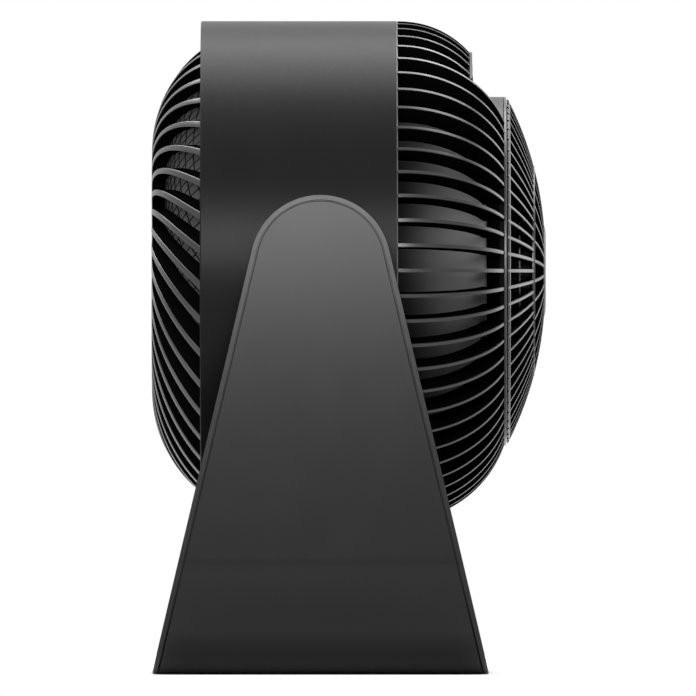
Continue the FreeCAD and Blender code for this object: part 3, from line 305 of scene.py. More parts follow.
def finish(name, group, inputs, plain, bump_height):
    """A material: a group for what changes over the surface, plain socket values for the rest."""
    material = bpy.data.materials.new(name)
    material.use_nodes = True
    tree = material.node_tree
    surface = add(tree, "ShaderNodeGroup", inputs, node_tree=group).outputs
    bump = add(tree, "ShaderNodeBump", {"Strength": BUMP_STRENGTH, "Distance": bump_height,
                                        "Height": surface["Height"]})
    varied = {"Base Color": surface["Colour"], "Roughness": surface["Roughness"],
              "Normal": bump.outputs["Normal"]}
    for label, value in {**varied, **plain}.items():
        feed(tree, tree.nodes["Principled BSDF"].inputs[label], value)
    return material


def plastic(name, tone, roughness, specular=0.5, grain=GRAIN_SCALE, bump_height=PLASTIC_BUMP, dust=DUST,
            tint=(1, 1, 1)):
    colour = (tone * tint[0], tone * tint[1], tone * tint[2], 1)
    inputs = {"Colour": colour, "Roughness": roughness, "Grain Scale": grain, "Dust": dust}
    return finish(name, MOULDED, inputs, {"Specular IOR Level": specular}, bump_height)


def metal(name, colour, roughness, streaks=STREAKS):
    inputs = {"Colour": colour + (1,), "Roughness": roughness, "Streaks": streaks}
    return finish(name, DRAWN, inputs, {"Metallic": 1.0}, METAL_BUMP)


print("plastic and metal ready")

# %% The finishes of this heater
PLASTICS = {
    "drum_plastic": dict(tone=0.005, roughness=0.36, specular=0.09),
    "grille_plastic": dict(tone=0.006, roughness=0.33, specular=0.6, grain=1800.0),
    # Painted highlight: a lighter, glossier copy of the black plastic for the drum's front rounding.
    "painted_highlight_edge": dict(tone=0.06, roughness=0.3, specular=0.9),
    # Painted shade: a near-black copy with almost no reflection, for the dark roundings of the legs and other
    # pieces.
    "painted_shade_edge": dict(tone=0.004, roughness=0.6, specular=0.06, dust=0.0),
    # Painted shade: a near-black finish with no reflection, for rib flanks and deep inner walls.
    "painted_shade_flank": dict(tone=0.002, roughness=0.6, specular=0.0, grain=1800.0, dust=0.0),
    "panel_plastic": dict(tone=0.012, roughness=0.42, specular=0.3, dust=0.02),
    "window_plastic": dict(tone=0.006, roughness=0.08, grain=300.0, bump_height=0.002 * MM, dust=0.02),
    "button_plastic": dict(tone=0.03, roughness=0.45),
    "leg_plastic": dict(tone=0.006, roughness=0.24, specular=0.29),
    "cover_plastic": dict(tone=0.004, roughness=0.24, specular=0.25),
    "base_plastic": dict(tone=0.02, roughness=0.6, grain=1200.0, bump_height=0.08 * MM),
    "screen_wire": dict(tone=0.003, roughness=0.8, specular=0.03, dust=0.0),
    "screen_mesh": dict(tone=0.07, roughness=0.8, specular=0.1, dust=0.0),
    "lattice_wire": dict(tone=0.004, roughness=0.6, specular=0.1, dust=0.0),
    "duct_paint": dict(tone=0.07, roughness=0.5, specular=0.12, grain=1500.0, dust=0.0),
    "frame_plastic": dict(tone=0.04, roughness=0.6),
    "fan_plastic": dict(tone=0.025, roughness=0.4),
    "washer_fibre": dict(tone=0.3, roughness=0.85, grain=900.0, tint=(1.0, 0.62, 0.4)),
    "bush_nylon": dict(tone=0.7, roughness=0.4, tint=(1.0, 0.98, 0.92)),
    "board_green": dict(tone=0.2, roughness=0.35, grain=700.0, tint=(0.12, 0.75, 0.35)),
    "foot_rubber": dict(tone=0.018, roughness=0.85, specular=0.3, grain=1400.0, bump_height=0.06 * MM),
}
METALS = {
    "heater_aluminium": dict(colour=(0.76, 0.76, 0.77), roughness=0.3),
    "steel": dict(colour=(0.58, 0.58, 0.58), roughness=0.28),
    "core_iron": dict(colour=(0.24, 0.24, 0.25), roughness=0.45, streaks=(30.0, 2600.0, 30.0)),
    "winding_copper": dict(colour=(0.72, 0.36, 0.16), roughness=0.3, streaks=(60.0, 60.0, 2600.0)),
    "bearing_bronze": dict(colour=(0.6, 0.43, 0.22), roughness=0.4),
}
finishes = {name: plastic(name, **look) for name, look in PLASTICS.items()}
finishes.update({name: metal(name, **look) for name, look in METALS.items()})
print("finishes:", ", ".join(finishes))

# %% Finishes on the solids
DUCT_BACK = 36.0
DUCT_FRONT = 82.0
DUCT_SHADE_DARK = grey_colour(0.004)
DUCT_SHADE_LIGHT = grey_colour(0.19)


def painted_shade_towards_the_back(material, back, front, dark, light):
    """Paints shade into a finish along the axis, darker towards the back of the duct, deeper inside the head.
    """
    tree = material.node_tree
    surface = next(node for node in tree.nodes if node.type == "GROUP")
    place = add(tree, "ShaderNodeSeparateXYZ", {0: add(tree, "ShaderNodeTexCoord").outputs["Object"]})
    ends = {"Value": place.outputs["Y"], "From Min": -back * MM, "From Max": -front * MM}
    depth = add(tree, "ShaderNodeMapRange", ends, interpolation_type="SMOOTHSTEP")
    feed(tree, surface.inputs["Colour"], blend(tree, depth.outputs["Result"], dark, light))


# The duct's paint gets painted shade, darkest at the back of the duct.
painted_shade_towards_the_back(finishes["duct_paint"], DUCT_BACK, DUCT_FRONT, DUCT_SHADE_DARK, DUCT_SHADE_LIGHT)
slot_of = {part["node"]: part["material_slot"] for part in frame["record"]["subparts"]}
for name, node in nodes.items():
    node.data.materials.clear()
    node.data.materials.append(finishes[slot_of[name]])
print("finishes:", len(finishes), "on", len(nodes), "solids")

# %% [markdown]
# ## Rounded edges
# No moulded edge is knife sharp. In the photograph only the front edge of the drum draws a thin light line,
# and the edges of the legs stay dull, so the roundings have finishes of their own: a painted highlight, a
# lighter and glossier finish, on the part of the drum's rounding that faces forward and outward, and painted
# shade, a near-black finish with almost no reflection, on the roundings of the other pieces. The solids have
# plain edges, so each large piece is a copy of its solid with the loose triangles merged, flat areas joined
# into single faces and a Bevel modifier on the corners. Drawing the pieces again would risk a wrong size, and
# a bevel in the shader would not reach the outline.

# %% Copies of solids with rounded edges
MERGE_WITHIN = 0.005 * MM
FLAT_WITHIN = math.radians(0.4)
CORNER = math.radians(35.0)
ROUNDING_STEPS = 3


def place_piece(name, mesh, body):
    """Links a finished mesh as a piece that rides on a body."""
    piece = bpy.data.objects.new(name, mesh)
    bpy.context.scene.collection.objects.link(piece)
    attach(piece, body)
    print(name, len(mesh.polygons), "faces")
    return piece


def body_with(node):
    return next(body for body, names in frame["record"]["behaviour"]["bodies"].items() if node in names)


def plain_mesh(holder):
    """What an object's modifiers make of it, as a mesh of its own. The object is removed."""
    bpy.context.view_layer.update()
    graph = bpy.context.evaluated_depsgraph_get()
    mesh = bpy.data.meshes.new_from_object(holder.evaluated_get(graph))
    bpy.data.objects.remove(holder)
    return mesh


def mesh_from(shape, name):
    """A mesh from a drawn shape, which is let go."""
    mesh = bpy.data.meshes.new(name)
    shape.to_mesh(mesh)
    shape.free()
    return mesh


def rounded_copy(node, name, rounding, edge="painted_shade_edge"):
    shape = bmesh.new()
    shape.from_mesh(nodes[node].data)
    bmesh.ops.remove_doubles(shape, verts=shape.verts, dist=MERGE_WITHIN)
    bmesh.ops.dissolve_limit(shape, angle_limit=FLAT_WITHIN, verts=shape.verts, edges=shape.edges)
    mesh = mesh_from(shape, name)
    mesh.shade_smooth()
    for coat in (slot_of[node], edge):
        mesh.materials.append(finishes[coat])
    holder = bpy.data.objects.new(name + "_holder", mesh)
    bpy.context.scene.collection.objects.link(holder)
    bevel = holder.modifiers.new("rounding", "BEVEL")
    bevel.width = rounding * MM
    bevel.segments = ROUNDING_STEPS
    bevel.limit_method = "ANGLE"
    bevel.angle_limit = CORNER
    # The rounded corners take the edge finish: painted shade, or the drum's painted highlight.
    bevel.material = 1
    flat = holder.modifiers.new("flat faces stay flat", "WEIGHTED_NORMAL")
    flat.keep_sharp = True
    piece = place_piece(name, plain_mesh(holder), body_with(node))
    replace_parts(piece, node)
    return piece


print("each rounding has", ROUNDING_STEPS, "steps")

# %% Drum, stand, panel and keys
DRUM_ROUNDING = 0.25
KEY_ROUNDING = 0.4
HIGHLIGHT_LEAST_FORWARD = 0.3
HIGHLIGHT_MOST_FORWARD = 0.95
ROUNDED = {
    "stand_yoke": ("stand_legs", 0.35),
    "leg_cover_left": ("cover_left", 0.3),
    "leg_cover_right": ("cover_right", 0.3),
    "base_plate": ("base_underside", 0.3),
    "rubber_feet": ("feet", 0.3),
    "cord_gland": ("gland", 0.3),
    "inner_duct": ("duct", 0.3),
    "control_panel": ("panel", 0.3),
    "display_window": ("window", 0.2),
}

# The painted highlight, a lighter and glossier finish, stays only on the part of the drum's rounding that
# looks both forward and outward.
band = rounded_copy("drum_housing", "drum_band", DRUM_ROUNDING, edge="painted_highlight_edge")
for face in band.data.polygons:
    face.material_index = int(HIGHLIGHT_LEAST_FORWARD < -face.normal.y < HIGHLIGHT_MOST_FORWARD)
for node, (name, rounding) in ROUNDED.items():
    rounded_copy(node, name, rounding)
for button in ("power", "heat", "speed", "timer"):
    rounded_copy("button_" + button, "key_" + button, KEY_ROUNDING)

# %% [markdown]
# ## Ribs round the head
# Sixty-two thin plates stand round the front shoulder and sixty-four on the centre grille, and forty swirled
# ribs cover the back. One rib of each kind is drawn, and a Geometry Nodes tree turns it round the axis of the
# head. An Array modifier could turn it too, but the tree can also leave out the ribs where the control pocket
# is, by their angle from the top. In the photograph the edges of the ribs are light and their flat sides
# nearly black, so the sides are marked as flanks, and the tree gives them painted shade, a near-black finish
# with no reflection.

# %% A tree that repeats a rib round the axis
PIVOT = Vector((0, 0, 201 * MM))


def round_the_axis():
    inputs = (("Rib", "Geometry", None), ("Centre", "Vector", tuple(PIVOT)), ("Count", "Int", 60),
              ("First", "Float", 0.0), ("Pocket", "Float", 0.0), ("In Pocket", "Bool", False),
              ("Finish", "Material", None), ("Flank Painted Shade", "Material", None))
    tree = new_group("round_the_axis", "GeometryNodeTree", inputs, [("Ribs", "Geometry")])
    given = add(tree, "NodeGroupInput").outputs
    back = add(tree, "ShaderNodeVectorMath", {0: given["Centre"], "Scale": -1.0}, operation="SCALE")
    home = add(tree, "GeometryNodeTransform", {"Geometry": given["Rib"], "Translation": back.outputs[0]})
    points = add(tree, "GeometryNodePoints", {"Count": given["Count"], "Position": given["Centre"]})
    pitch = sums(tree, "DIVIDE", math.tau, given["Count"])
    number = add(tree, "GeometryNodeInputIndex").outputs[0]
    angle = sums(tree, "MULTIPLY_ADD", number, pitch, given["First"])
    from_top = sums(tree, "MINIMUM", angle, sums(tree, "SUBTRACT", math.tau, angle))
    outside = add(tree, "FunctionNodeCompare", {0: from_top, 1: given["Pocket"]}, data_type="FLOAT",
                  operation="GREATER_EQUAL")
    wanted = add(tree, "FunctionNodeBooleanMath", {0: outside.outputs[0], 1: given["In Pocket"]},
                 operation="XOR")
    turn = add(tree, "ShaderNodeCombineXYZ", {"Y": angle})
    ribs = add(tree, "GeometryNodeInstanceOnPoints", {
        "Points": points.outputs[0], "Selection": wanted.outputs[0],
        "Instance": home.outputs[0], "Rotation": turn.outputs[0]})
    real = add(tree, "GeometryNodeRealizeInstances", {0: ribs.outputs[0]})
    coat = add(tree, "GeometryNodeSetMaterial", {"Geometry": real.outputs[0], "Material": given["Finish"]})
    flank = add(tree, "GeometryNodeInputNamedAttribute", {"Name": "flank"}, data_type="BOOLEAN")
    flank_coat = add(tree, "GeometryNodeSetMaterial", {
        "Geometry": coat.outputs[0], "Selection": flank.outputs["Attribute"],
        "Material": given["Flank Painted Shade"]})
    add(tree, "NodeGroupOutput", {0: flank_coat.outputs[0]})
    return tree


ROUND = round_the_axis()
print("tree:", ROUND.name, len(ROUND.nodes), "nodes")

# %% Meshes from a tree, and several meshes as one
# The second coat is the painted shade of the flanks.
RIB_COATS = [finishes["grille_plastic"], finishes["painted_shade_flank"]]


def run_tree(tree, mesh, values):
    """The plain mesh that a tree makes from a mesh, with inputs given by name."""
    holder = bpy.data.objects.new("holder", mesh)
    bpy.context.scene.collection.objects.link(holder)
    modifier = holder.modifiers.new("tree", "NODES")
    modifier.node_group = tree
    for item in tree.interface.items_tree:
        if item.in_out == "INPUT" and item.name in values:
            modifier[item.identifier] = values[item.name]
    return plain_mesh(holder)


def repeated(rib, values):
    return run_tree(ROUND, rib, {**values, "Finish": RIB_COATS[0], "Flank Painted Shade": RIB_COATS[1]})


def gathered(name, meshes):
    """Several meshes as one, each face with its own finish."""
    shape = bmesh.new()
    for mesh in meshes:
        done = len(shape.faces)
        shape.from_mesh(mesh)
        shape.faces.ensure_lookup_table()
        for face in shape.faces[done:]:
            face.material_index = RIB_COATS.index(mesh.materials[face.material_index])
    whole = mesh_from(shape, name)
    for coat in RIB_COATS:
        whole.materials.append(coat)
    return whole


print("ribs have", len(RIB_COATS), "finishes")


# %% Points and lines over the axis of the head
def head(forward, radius, aside=0.0):
    """A point over the axis of the head: millimetres forward, out from the axis, and to the side."""
    return PIVOT + Vector((aside, -forward, radius)) * MM


def spaced(first, last, steps):
    return [first + (last - first) * step / steps for step in range(steps + 1)]


def arc(centre, radius, first, last, steps):
    """Points along an arc in the plane of the axis, angles from the axis in degrees."""
    angles = [math.radians(angle) for angle in spaced(first, last, steps)]
    return [(centre[0] + radius * math.cos(angle), centre[1] + radius * math.sin(angle)) for angle in angles]


def band_outline(back, front, inner, outer, rounding):
    """A rectangle over the axis with its corners rounded."""
    corners = [((front - rounding, outer - rounding), 0), ((back + rounding, outer - rounding), 90),
               ((back + rounding, inner + rounding), 180), ((front - rounding, inner + rounding), 270)]
    points = []
    for centre, first in corners:
        points += arc(centre, rounding, first, first + 90, steps=3)
    return points


def smooth_by_angle(mesh, degrees):
    mesh.shade_smooth()
    mesh.set_sharp_from_angle(angle=math.radians(degrees))


print("the axis of the head is", round(PIVOT.z, 3), "m up")

# %% Flat ribs and turned rings
PLATE_SMOOTH = 25.0
PLATE_EDGE_STEPS = 2
FLANK_FACING = 0.9
RING_SMOOTH = 40.0


def plate(name, outline, thickness, rounding):
    """A flat rib standing on the axis plane, with all its edges rounded."""
    shape = bmesh.new()
    sides = []
    for aside in (-thickness / 2, thickness / 2):
        corners = [shape.verts.new(head(forward, radius, aside)) for forward, radius in outline]
        sides.append(corners)
    shape.faces.new(sides[0])
    shape.faces.new(reversed(sides[1]))
    for first in range(len(outline)):
        after = (first + 1) % len(outline)
        shape.faces.new((sides[0][after], sides[0][first], sides[1][first], sides[1][after]))
    bmesh.ops.recalc_face_normals(shape, faces=shape.faces)
    rims = [edge for edge in shape.edges if any(set(edge.verts) <= set(side) for side in sides)]
    bmesh.ops.bevel(shape, geom=rims, offset=rounding * MM, segments=PLATE_EDGE_STEPS, affect="EDGES",
                    clamp_overlap=True)
    flank = shape.faces.layers.bool.new("flank")
    for face in shape.faces:
        face[flank] = abs(face.normal.x) > FLANK_FACING
    mesh = mesh_from(shape, name)
    smooth_by_angle(mesh, PLATE_SMOOTH)
    return mesh


def lathe(name, outline, steps=180, first=0.0, last=360.0, coat="grille_plastic"):
    """A ring turned round the axis of the head from a closed outline of (forward, radius) points."""
    whole = last - first >= 360
    columns = steps if whole else steps + 1
    turns = [math.radians(turn) for turn in spaced(first, last, steps)[:columns]]
    shape = bmesh.new()
    rounds = []
    for forward, radius in outline:
        if radius == 0:
            rounds.append([shape.verts.new(head(forward, 0))] * columns)
        else:
            rounds.append([shape.verts.new(head(forward, radius * math.cos(turn), radius * math.sin(turn)))
                           for turn in turns])
    for one, two in zip(rounds, rounds[1:] + rounds[:1]):
        for step in range(steps):
            after = (step + 1) % columns
            corners = list(dict.fromkeys((one[step], one[after], two[after], two[step])))
            if len(corners) > 2:
                shape.faces.new(corners)
    if not whole:
        shape.faces.new([ring[0] for ring in rounds])
        shape.faces.new([ring[-1] for ring in rounds])
    bmesh.ops.recalc_face_normals(shape, faces=shape.faces)
    mesh = mesh_from(shape, name)
    smooth_by_angle(mesh, RING_SMOOTH)
    mesh.materials.append(finishes[coat])
    return mesh


print("plates and rings ready")

# %% [markdown]
# ## Front grille
# Each front rib is a plate that follows the rounded shoulder from the drum to a thin ring. Ten ribs at the
# top bend down to the wall of the control pocket and stop there. The outlines are those of the solids, except
# that the ten bend in one smooth arc, as in the photograph. A copy of the solid with a bevel would do as
# well, but a drawn plate has clean faces, and its rounded edge shows one even light line as real ribs do.

# %% Sizes of the front grille, in millimetres
DRUM_AHEAD = 38.5
DRUM_RADIUS = 125.25
SHOULDER_RADIUS = 56.5
SHOULDER_CENTRE = 68.75
SHOULDER = (DRUM_AHEAD, SHOULDER_CENTRE)
FRONT_RIBS = 62
PITCH = math.tau / FRONT_RIBS
RIB_THICKNESS = 1.8
RIB_DEPTH = 11.0
RIB_EDGE = 0.22
RIB_FOOT = 85.6
RIB_TAB = 34.5
INNER_RADIUS = SHOULDER_RADIUS - RIB_DEPTH
RING_RADIUS = 87.3
RING_BORE = 83.0
RING_BACK = 91.47
RING_FRONT = 92.87
RING_LIP = 0.3
SLEEVE_BACK = 85.17
SLEEVE_OUTER = 84.5
CONE_BACK = 89.07
CONE_GAP = 0.9
SKIRT_BACK = 30.5
SKIRT_FRONT = 38.2
SKIRT_INNER = 119.55
SKIRT_OUTER = 122.55
SKIRT_MIDDLE = 121.05
SKIRT_EDGE = 0.4
PANEL_BACK = 74.37
PANEL_TOP = 109.71
PANEL_BOX_BACK = 64.87
PANEL_BOX_TOP = 106.3
POCKET_BEND = 82.0
POCKET_RIM_BACK = 71.17
POCKET_HALF = 5 * PITCH
CHAMFER = 0.2
OVERLAP = 0.2
print("front grille:", FRONT_RIBS, "ribs, each", RIB_THICKNESS, "mm thick")

# %% Two kinds of front rib
TAB = [(RIB_TAB, DRUM_RADIUS - RIB_DEPTH), (RIB_TAB, SKIRT_MIDDLE), (DRUM_AHEAD, SKIRT_MIDDLE)]


def angle_at_radius(radius, arc_radius):
    return math.degrees(math.asin((radius - SHOULDER_CENTRE) / arc_radius))


def angle_at_forward(forward, arc_radius):
    return math.degrees(math.acos((forward - DRUM_AHEAD) / arc_radius))


def tangent_arc(start_angle, end, steps):
    """Points along the arc that leaves the shoulder smoothly at an angle and reaches an end point."""
    outward = Vector((math.cos(math.radians(start_angle)), math.sin(math.radians(start_angle))))
    start = Vector(SHOULDER) + outward * SHOULDER_RADIUS
    chord = Vector(end) - start
    bend = -chord.length_squared / (2 * chord.dot(outward))
    centre = start - outward * bend
    last = math.degrees(math.atan2(end[1] - centre.y, end[0] - centre.x))
    return arc(centre, bend, start_angle, last, steps)


def full_rib():
    outer = arc(SHOULDER, SHOULDER_RADIUS, 90, angle_at_radius(RING_RADIUS, SHOULDER_RADIUS), steps=28)
    inner = arc(SHOULDER, INNER_RADIUS, angle_at_radius(RIB_FOOT, INNER_RADIUS), 90, steps=24)
    outline = outer + [(outer[-1][0], RIB_FOOT)] + inner + TAB
    return plate("front_rib", outline, RIB_THICKNESS, RIB_EDGE)


def pocket_rib():
    outer = arc(SHOULDER, SHOULDER_RADIUS, 90, POCKET_BEND, steps=5)[:-1]
    outer += tangent_arc(POCKET_BEND, (PANEL_BACK, PANEL_TOP), steps=18)
    wall = [(PANEL_BACK, PANEL_BOX_TOP), (PANEL_BOX_BACK, PANEL_BOX_TOP)]
    inner = arc(SHOULDER, INNER_RADIUS, angle_at_forward(PANEL_BOX_BACK, INNER_RADIUS), 90, steps=12)
    return plate("pocket_rib", outer + wall + inner + TAB, RIB_THICKNESS, RIB_EDGE)


print("pocket: ribs up to", round(math.degrees(POCKET_HALF), 1), "degrees from the top are short")

# %% Front ribs and rings
half = math.degrees(POCKET_HALF)
ring_outline = [(RING_BACK, RING_BORE), (RING_BACK, RING_RADIUS - CHAMFER),
                (RING_BACK + CHAMFER, RING_RADIUS), (RING_FRONT - RING_LIP, RING_RADIUS),
                (RING_FRONT, RING_RADIUS - RING_LIP), (RING_FRONT, RING_BORE)]
sleeve_outline = [(SLEEVE_BACK, RING_BORE), (SLEEVE_BACK, SLEEVE_OUTER - CHAMFER),
                  (SLEEVE_BACK + CHAMFER, SLEEVE_OUTER), (RING_BACK + OVERLAP, SLEEVE_OUTER),
                  (RING_BACK + OVERLAP, RING_BORE)]
cone_outline = [(CONE_BACK, SLEEVE_OUTER - OVERLAP / 2),
                (RING_BACK + OVERLAP / 2, SLEEVE_OUTER - OVERLAP / 2),
                (RING_BACK + OVERLAP / 2, RING_RADIUS - CHAMFER)]
pocket_outline = [(POCKET_RIM_BACK, PANEL_BOX_TOP + OVERLAP), (PANEL_BACK, PANEL_BOX_TOP + OVERLAP),
                  (PANEL_BACK, PANEL_TOP - OVERLAP)]
layout = {"Count": FRONT_RIBS, "First": PITCH / 2, "Pocket": POCKET_HALF}
front = gathered("front_ribs", [
    repeated(full_rib(), layout),
    repeated(pocket_rib(), {**layout, "In Pocket": True}),
    lathe("front_ring", ring_outline),
    # The sleeve behind the ring is in painted shade.
    lathe("ring_sleeve", sleeve_outline, coat="painted_shade_flank"),
    lathe("ring_cone", cone_outline, steps=150, first=half + CONE_GAP, last=360 - CONE_GAP - half),
    lathe("pocket_rim", pocket_outline, steps=30, first=-half, last=half),
    lathe("front_skirt", band_outline(SKIRT_BACK, SKIRT_FRONT, SKIRT_INNER, SKIRT_OUTER, SKIRT_EDGE))])
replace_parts(place_piece("front_ribs", front, "head"), "front_grille")

# %% [markdown]
# ## Centre grille
# The outlet in the middle is a shallow dome of its own: a rim that drops into the ring, finer ribs than the
# outer ones, and every second rib ending on a thin ring so that the bars don't crowd at the hub. The ribs run
# on over the rim, and the wall of the hub gets the same painted shade as the flanks, so that only the round
# edge of the hub is light. Openings cut in a dome would give the same grille, but would leave sharp edges and
# untidy faces.

# %% Sizes of the centre grille, in millimetres
DOME_ARC = 168.75
DOME_FLAT = 9.0
CROWN = 112.4
CENTRE_RIBS = 64
CENTRE_THICKNESS = 1.6
CENTRE_DEPTH = 6.0
OUTER_END = 86.0
LONG_END = 22.3
SHORT_END = 52.0
RIM_BACK = 93.17
RIM_EDGE = 94.77
RIM_BORE = 81.6
RIM_MIDDLE = 82.2
RIM_SHELF = RIM_BACK + OVERLAP / 2
SPIGOT_BACK = 80.17
SPIGOT_OUTER = 82.8
HUB_TOP = CROWN + 0.3
HUB_BACK = HUB_TOP - 6.3
HUB_EDGE = HUB_TOP - 1.3
HUB_RADIUS = 22.9
WALL_INNER = 22.0
WALL_OUTER = 23.0
RING_HALF = 0.8
MIDDLE_RING_PROUD = 0.2
MIDDLE_RING_DEPTH = 1.6
MIDDLE_RING_EDGE = 0.3
BACK_RING = 64.0
BACK_RING_SET_BACK = 3.6
BACK_RING_DEPTH = 0.8
BACK_RING_EDGE = 0.25
print("centre grille:", CENTRE_RIBS, "ribs, each", CENTRE_THICKNESS, "mm thick")


# %% Centre ribs, rings and hub
def dome_reach(radius):
    """How far forward the shallow dome stands at a radius."""
    return CROWN - DOME_ARC + math.sqrt(DOME_ARC ** 2 - max(radius - DOME_FLAT, 0) ** 2)


def centre_rib(inner_end, steps):
    """A rib from the rim, which its outer end covers, to an inner end."""
    outline = [(dome_reach(radius), radius) for radius in spaced(OUTER_END, inner_end, steps)]
    backs = spaced(RIM_MIDDLE, inner_end, steps)
    outline += [(dome_reach(radius) - CENTRE_DEPTH, radius) for radius in reversed(backs)]
    outline += [(RIM_SHELF, RIM_MIDDLE), (RIM_SHELF, OUTER_END)]
    return plate("centre_rib", outline, CENTRE_THICKNESS, RIB_EDGE)


# Each outline is a closed row of (forward, radius) points.
middle_front = dome_reach(SHORT_END) + MIDDLE_RING_PROUD
back_front = dome_reach(BACK_RING) - BACK_RING_SET_BACK
rim_outline = [(RIM_BACK, RIM_BORE), (RIM_BACK, 85.4), (93.4, 85.65), (94.0, 85.2), (94.55, 84.6),
               (RIM_EDGE, 84.0), (RIM_EDGE, 82.0), (94.4, RIM_BORE)]
spigot_outline = [(SPIGOT_BACK, RIM_BORE), (SPIGOT_BACK, SPIGOT_OUTER), (RIM_BACK + OVERLAP, SPIGOT_OUTER),
                  (RIM_BACK + OVERLAP, RIM_BORE)]
hub_outline = [(HUB_BACK, 0), (HUB_TOP, 0), (HUB_TOP, 18.4), (HUB_TOP - 0.1, 19.6), (HUB_TOP - 0.35, 21.4),
               (HUB_TOP - 0.7, 22.5), (HUB_EDGE, HUB_RADIUS), (HUB_BACK, HUB_RADIUS)]
wall_outline = [(HUB_BACK, WALL_INNER), (HUB_BACK, WALL_OUTER), (HUB_EDGE, WALL_OUTER),
                (HUB_EDGE, WALL_INNER)]
middle_outline = band_outline(middle_front - MIDDLE_RING_DEPTH, middle_front, SHORT_END - RING_HALF,
                              SHORT_END + RING_HALF, MIDDLE_RING_EDGE)
back_outline = band_outline(back_front - BACK_RING_DEPTH, back_front, BACK_RING - RING_HALF,
                            BACK_RING + RING_HALF, BACK_RING_EDGE)
centre = gathered("centre_ribs", [
    repeated(centre_rib(LONG_END, steps=16), {"Count": CENTRE_RIBS // 2, "First": math.tau / CENTRE_RIBS}),
    repeated(centre_rib(SHORT_END, steps=10), {"Count": CENTRE_RIBS // 2}),
    lathe("rim", rim_outline),
    # The spigot and the wall of the hub are in painted shade.
    lathe("spigot", spigot_outline, coat="painted_shade_flank"),
    lathe("hub", hub_outline),
    lathe("hub_wall", wall_outline, coat="painted_shade_flank"),
    lathe("middle_ring", middle_outline),
    lathe("back_ring", back_outline)])
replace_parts(place_piece("centre_ribs", centre, "head"), "centre_grille")

# %% [markdown]
# ## Rear grille
# The back is a rounded dome of swirled ribs. Seen along the axis each rib is an arc, its sides run along the
# axis, and its outer edge lies on the dome. So a rib is a row of cross-sections along that arc, each set to
# the depth of the dome at its own radius, and the tree repeats it forty times. A curve with a profile would
# tip the sides over with the dome. A flat ring behind the ribs closes the gap round the dust screen, through
# which daylight would show.

# %% Sizes of the rear grille, in millimetres
REAR_BACK = -84.5
REAR_FLAT = 60.0
REAR_CORNER = 65.0
REAR_START = -57.5
REAR_RIBS = 40
REAR_WIDTH = 2.8
REAR_DEPTH = 7.0
REAR_EDGE = 0.3
REAR_BEVEL = 0.09
REAR_SMOOTH = 35.0
REAR_INNER = REAR_BACK + REAR_DEPTH
SWIRL_RADIUS = 110.84
SWIRL_START = 175.2
SWIRL_RATE = 0.485
SWIRL_ENDS = (115.53, 67.97, 20.4)
REAR_HUB = 26.0
REAR_HUB_EDGE = 0.9
REAR_HUB_BEVEL = 0.26
SEAL_BACK = -55.6
SEAL_BORE = 105.9
SEAL_OUTER = 109.0
FLANGE_BACK = -60.0
FLANGE_FRONT = -54.0
FLANGE_BORE = 108.93
FLANGE_OUTER = 112.93
FLANGE_FOOT = 117.43
SAME_POINT = 0.01 * MM
NO_LENGTH = 0.001 * MM
print("rear grille:", REAR_RIBS, "ribs, each", REAR_WIDTH, "mm wide")


# %% One swirled rib
def rear_forward(radius, depth=0.0):
    """How far forward the rounded back lies at a radius, on a surface set in by depth."""
    corner = REAR_CORNER - depth
    out = min(max(radius - REAR_FLAT, 0), corner)
    return min(REAR_BACK + REAR_CORNER - math.sqrt(corner ** 2 - out ** 2), REAR_START)


def swirl(radius):
    """Where the middle of a rib lies at a radius, seen along the axis."""
    angle = math.radians(SWIRL_START - SWIRL_RATE * (SWIRL_RADIUS - radius))
    return Vector((radius * math.cos(angle), radius * math.sin(angle)))


def centre_of(one, two, three):
    """The middle of the circle through three points."""
    first, second = two - one, three - one
    across = 2 * (first.x * second.y - first.y * second.x)
    x = (second.y * first.length_squared - first.y * second.length_squared) / across
    y = (first.x * second.length_squared - second.x * first.length_squared) / across
    return one + Vector((x, y))


def rear_rib(steps=34):
    """A rib between two ends of the swirl. A section point without a depth lies on the inner surface."""
    ends = [swirl(radius) for radius in SWIRL_ENDS]
    middle = centre_of(*ends)
    bend = (ends[0] - middle).length
    first = math.atan2(*reversed(ends[0] - middle))
    last = math.atan2(*reversed(ends[2] - middle))
    half = REAR_WIDTH / 2
    section = [(-half, None), (-half, REAR_EDGE), (-half + REAR_BEVEL, REAR_BEVEL), (-half + REAR_EDGE, 0),
               (half - REAR_EDGE, 0), (half - REAR_BEVEL, REAR_BEVEL), (half, REAR_EDGE), (half, None)]
    shape = bmesh.new()
    rows = []
    for angle in spaced(first, last, steps):
        outward = Vector((math.cos(angle), math.sin(angle)))
        row = []
        for offset, depth in section:
            point = middle + outward * (bend + offset)
            radius = point.length
            outer, inner = rear_forward(radius), rear_forward(radius, REAR_DEPTH)
            forward = inner if depth is None else min(outer + depth, inner)
            row.append(shape.verts.new(head(forward, point.y, point.x)))
        rows.append(row)
    flank = shape.faces.layers.bool.new("flank")
    for one, two in zip(rows, rows[1:]):
        for start in range(len(section)):
            after = (start + 1) % len(section)
            face = shape.faces.new((one[start], one[after], two[after], two[start]))
            face[flank] = None in (section[start][1], section[after][1])
    shape.faces.new(rows[0])
    shape.faces.new(rows[-1])
    bmesh.ops.remove_doubles(shape, verts=shape.verts, dist=SAME_POINT)
    bmesh.ops.dissolve_degenerate(shape, edges=shape.edges, dist=NO_LENGTH)
    bmesh.ops.recalc_face_normals(shape, faces=shape.faces)
    mesh = mesh_from(shape, "rear_rib")
    smooth_by_angle(mesh, REAR_SMOOTH)
    return mesh


print("a rear rib runs from", SWIRL_ENDS[0], "mm to", SWIRL_ENDS[-1], "mm from the axis")

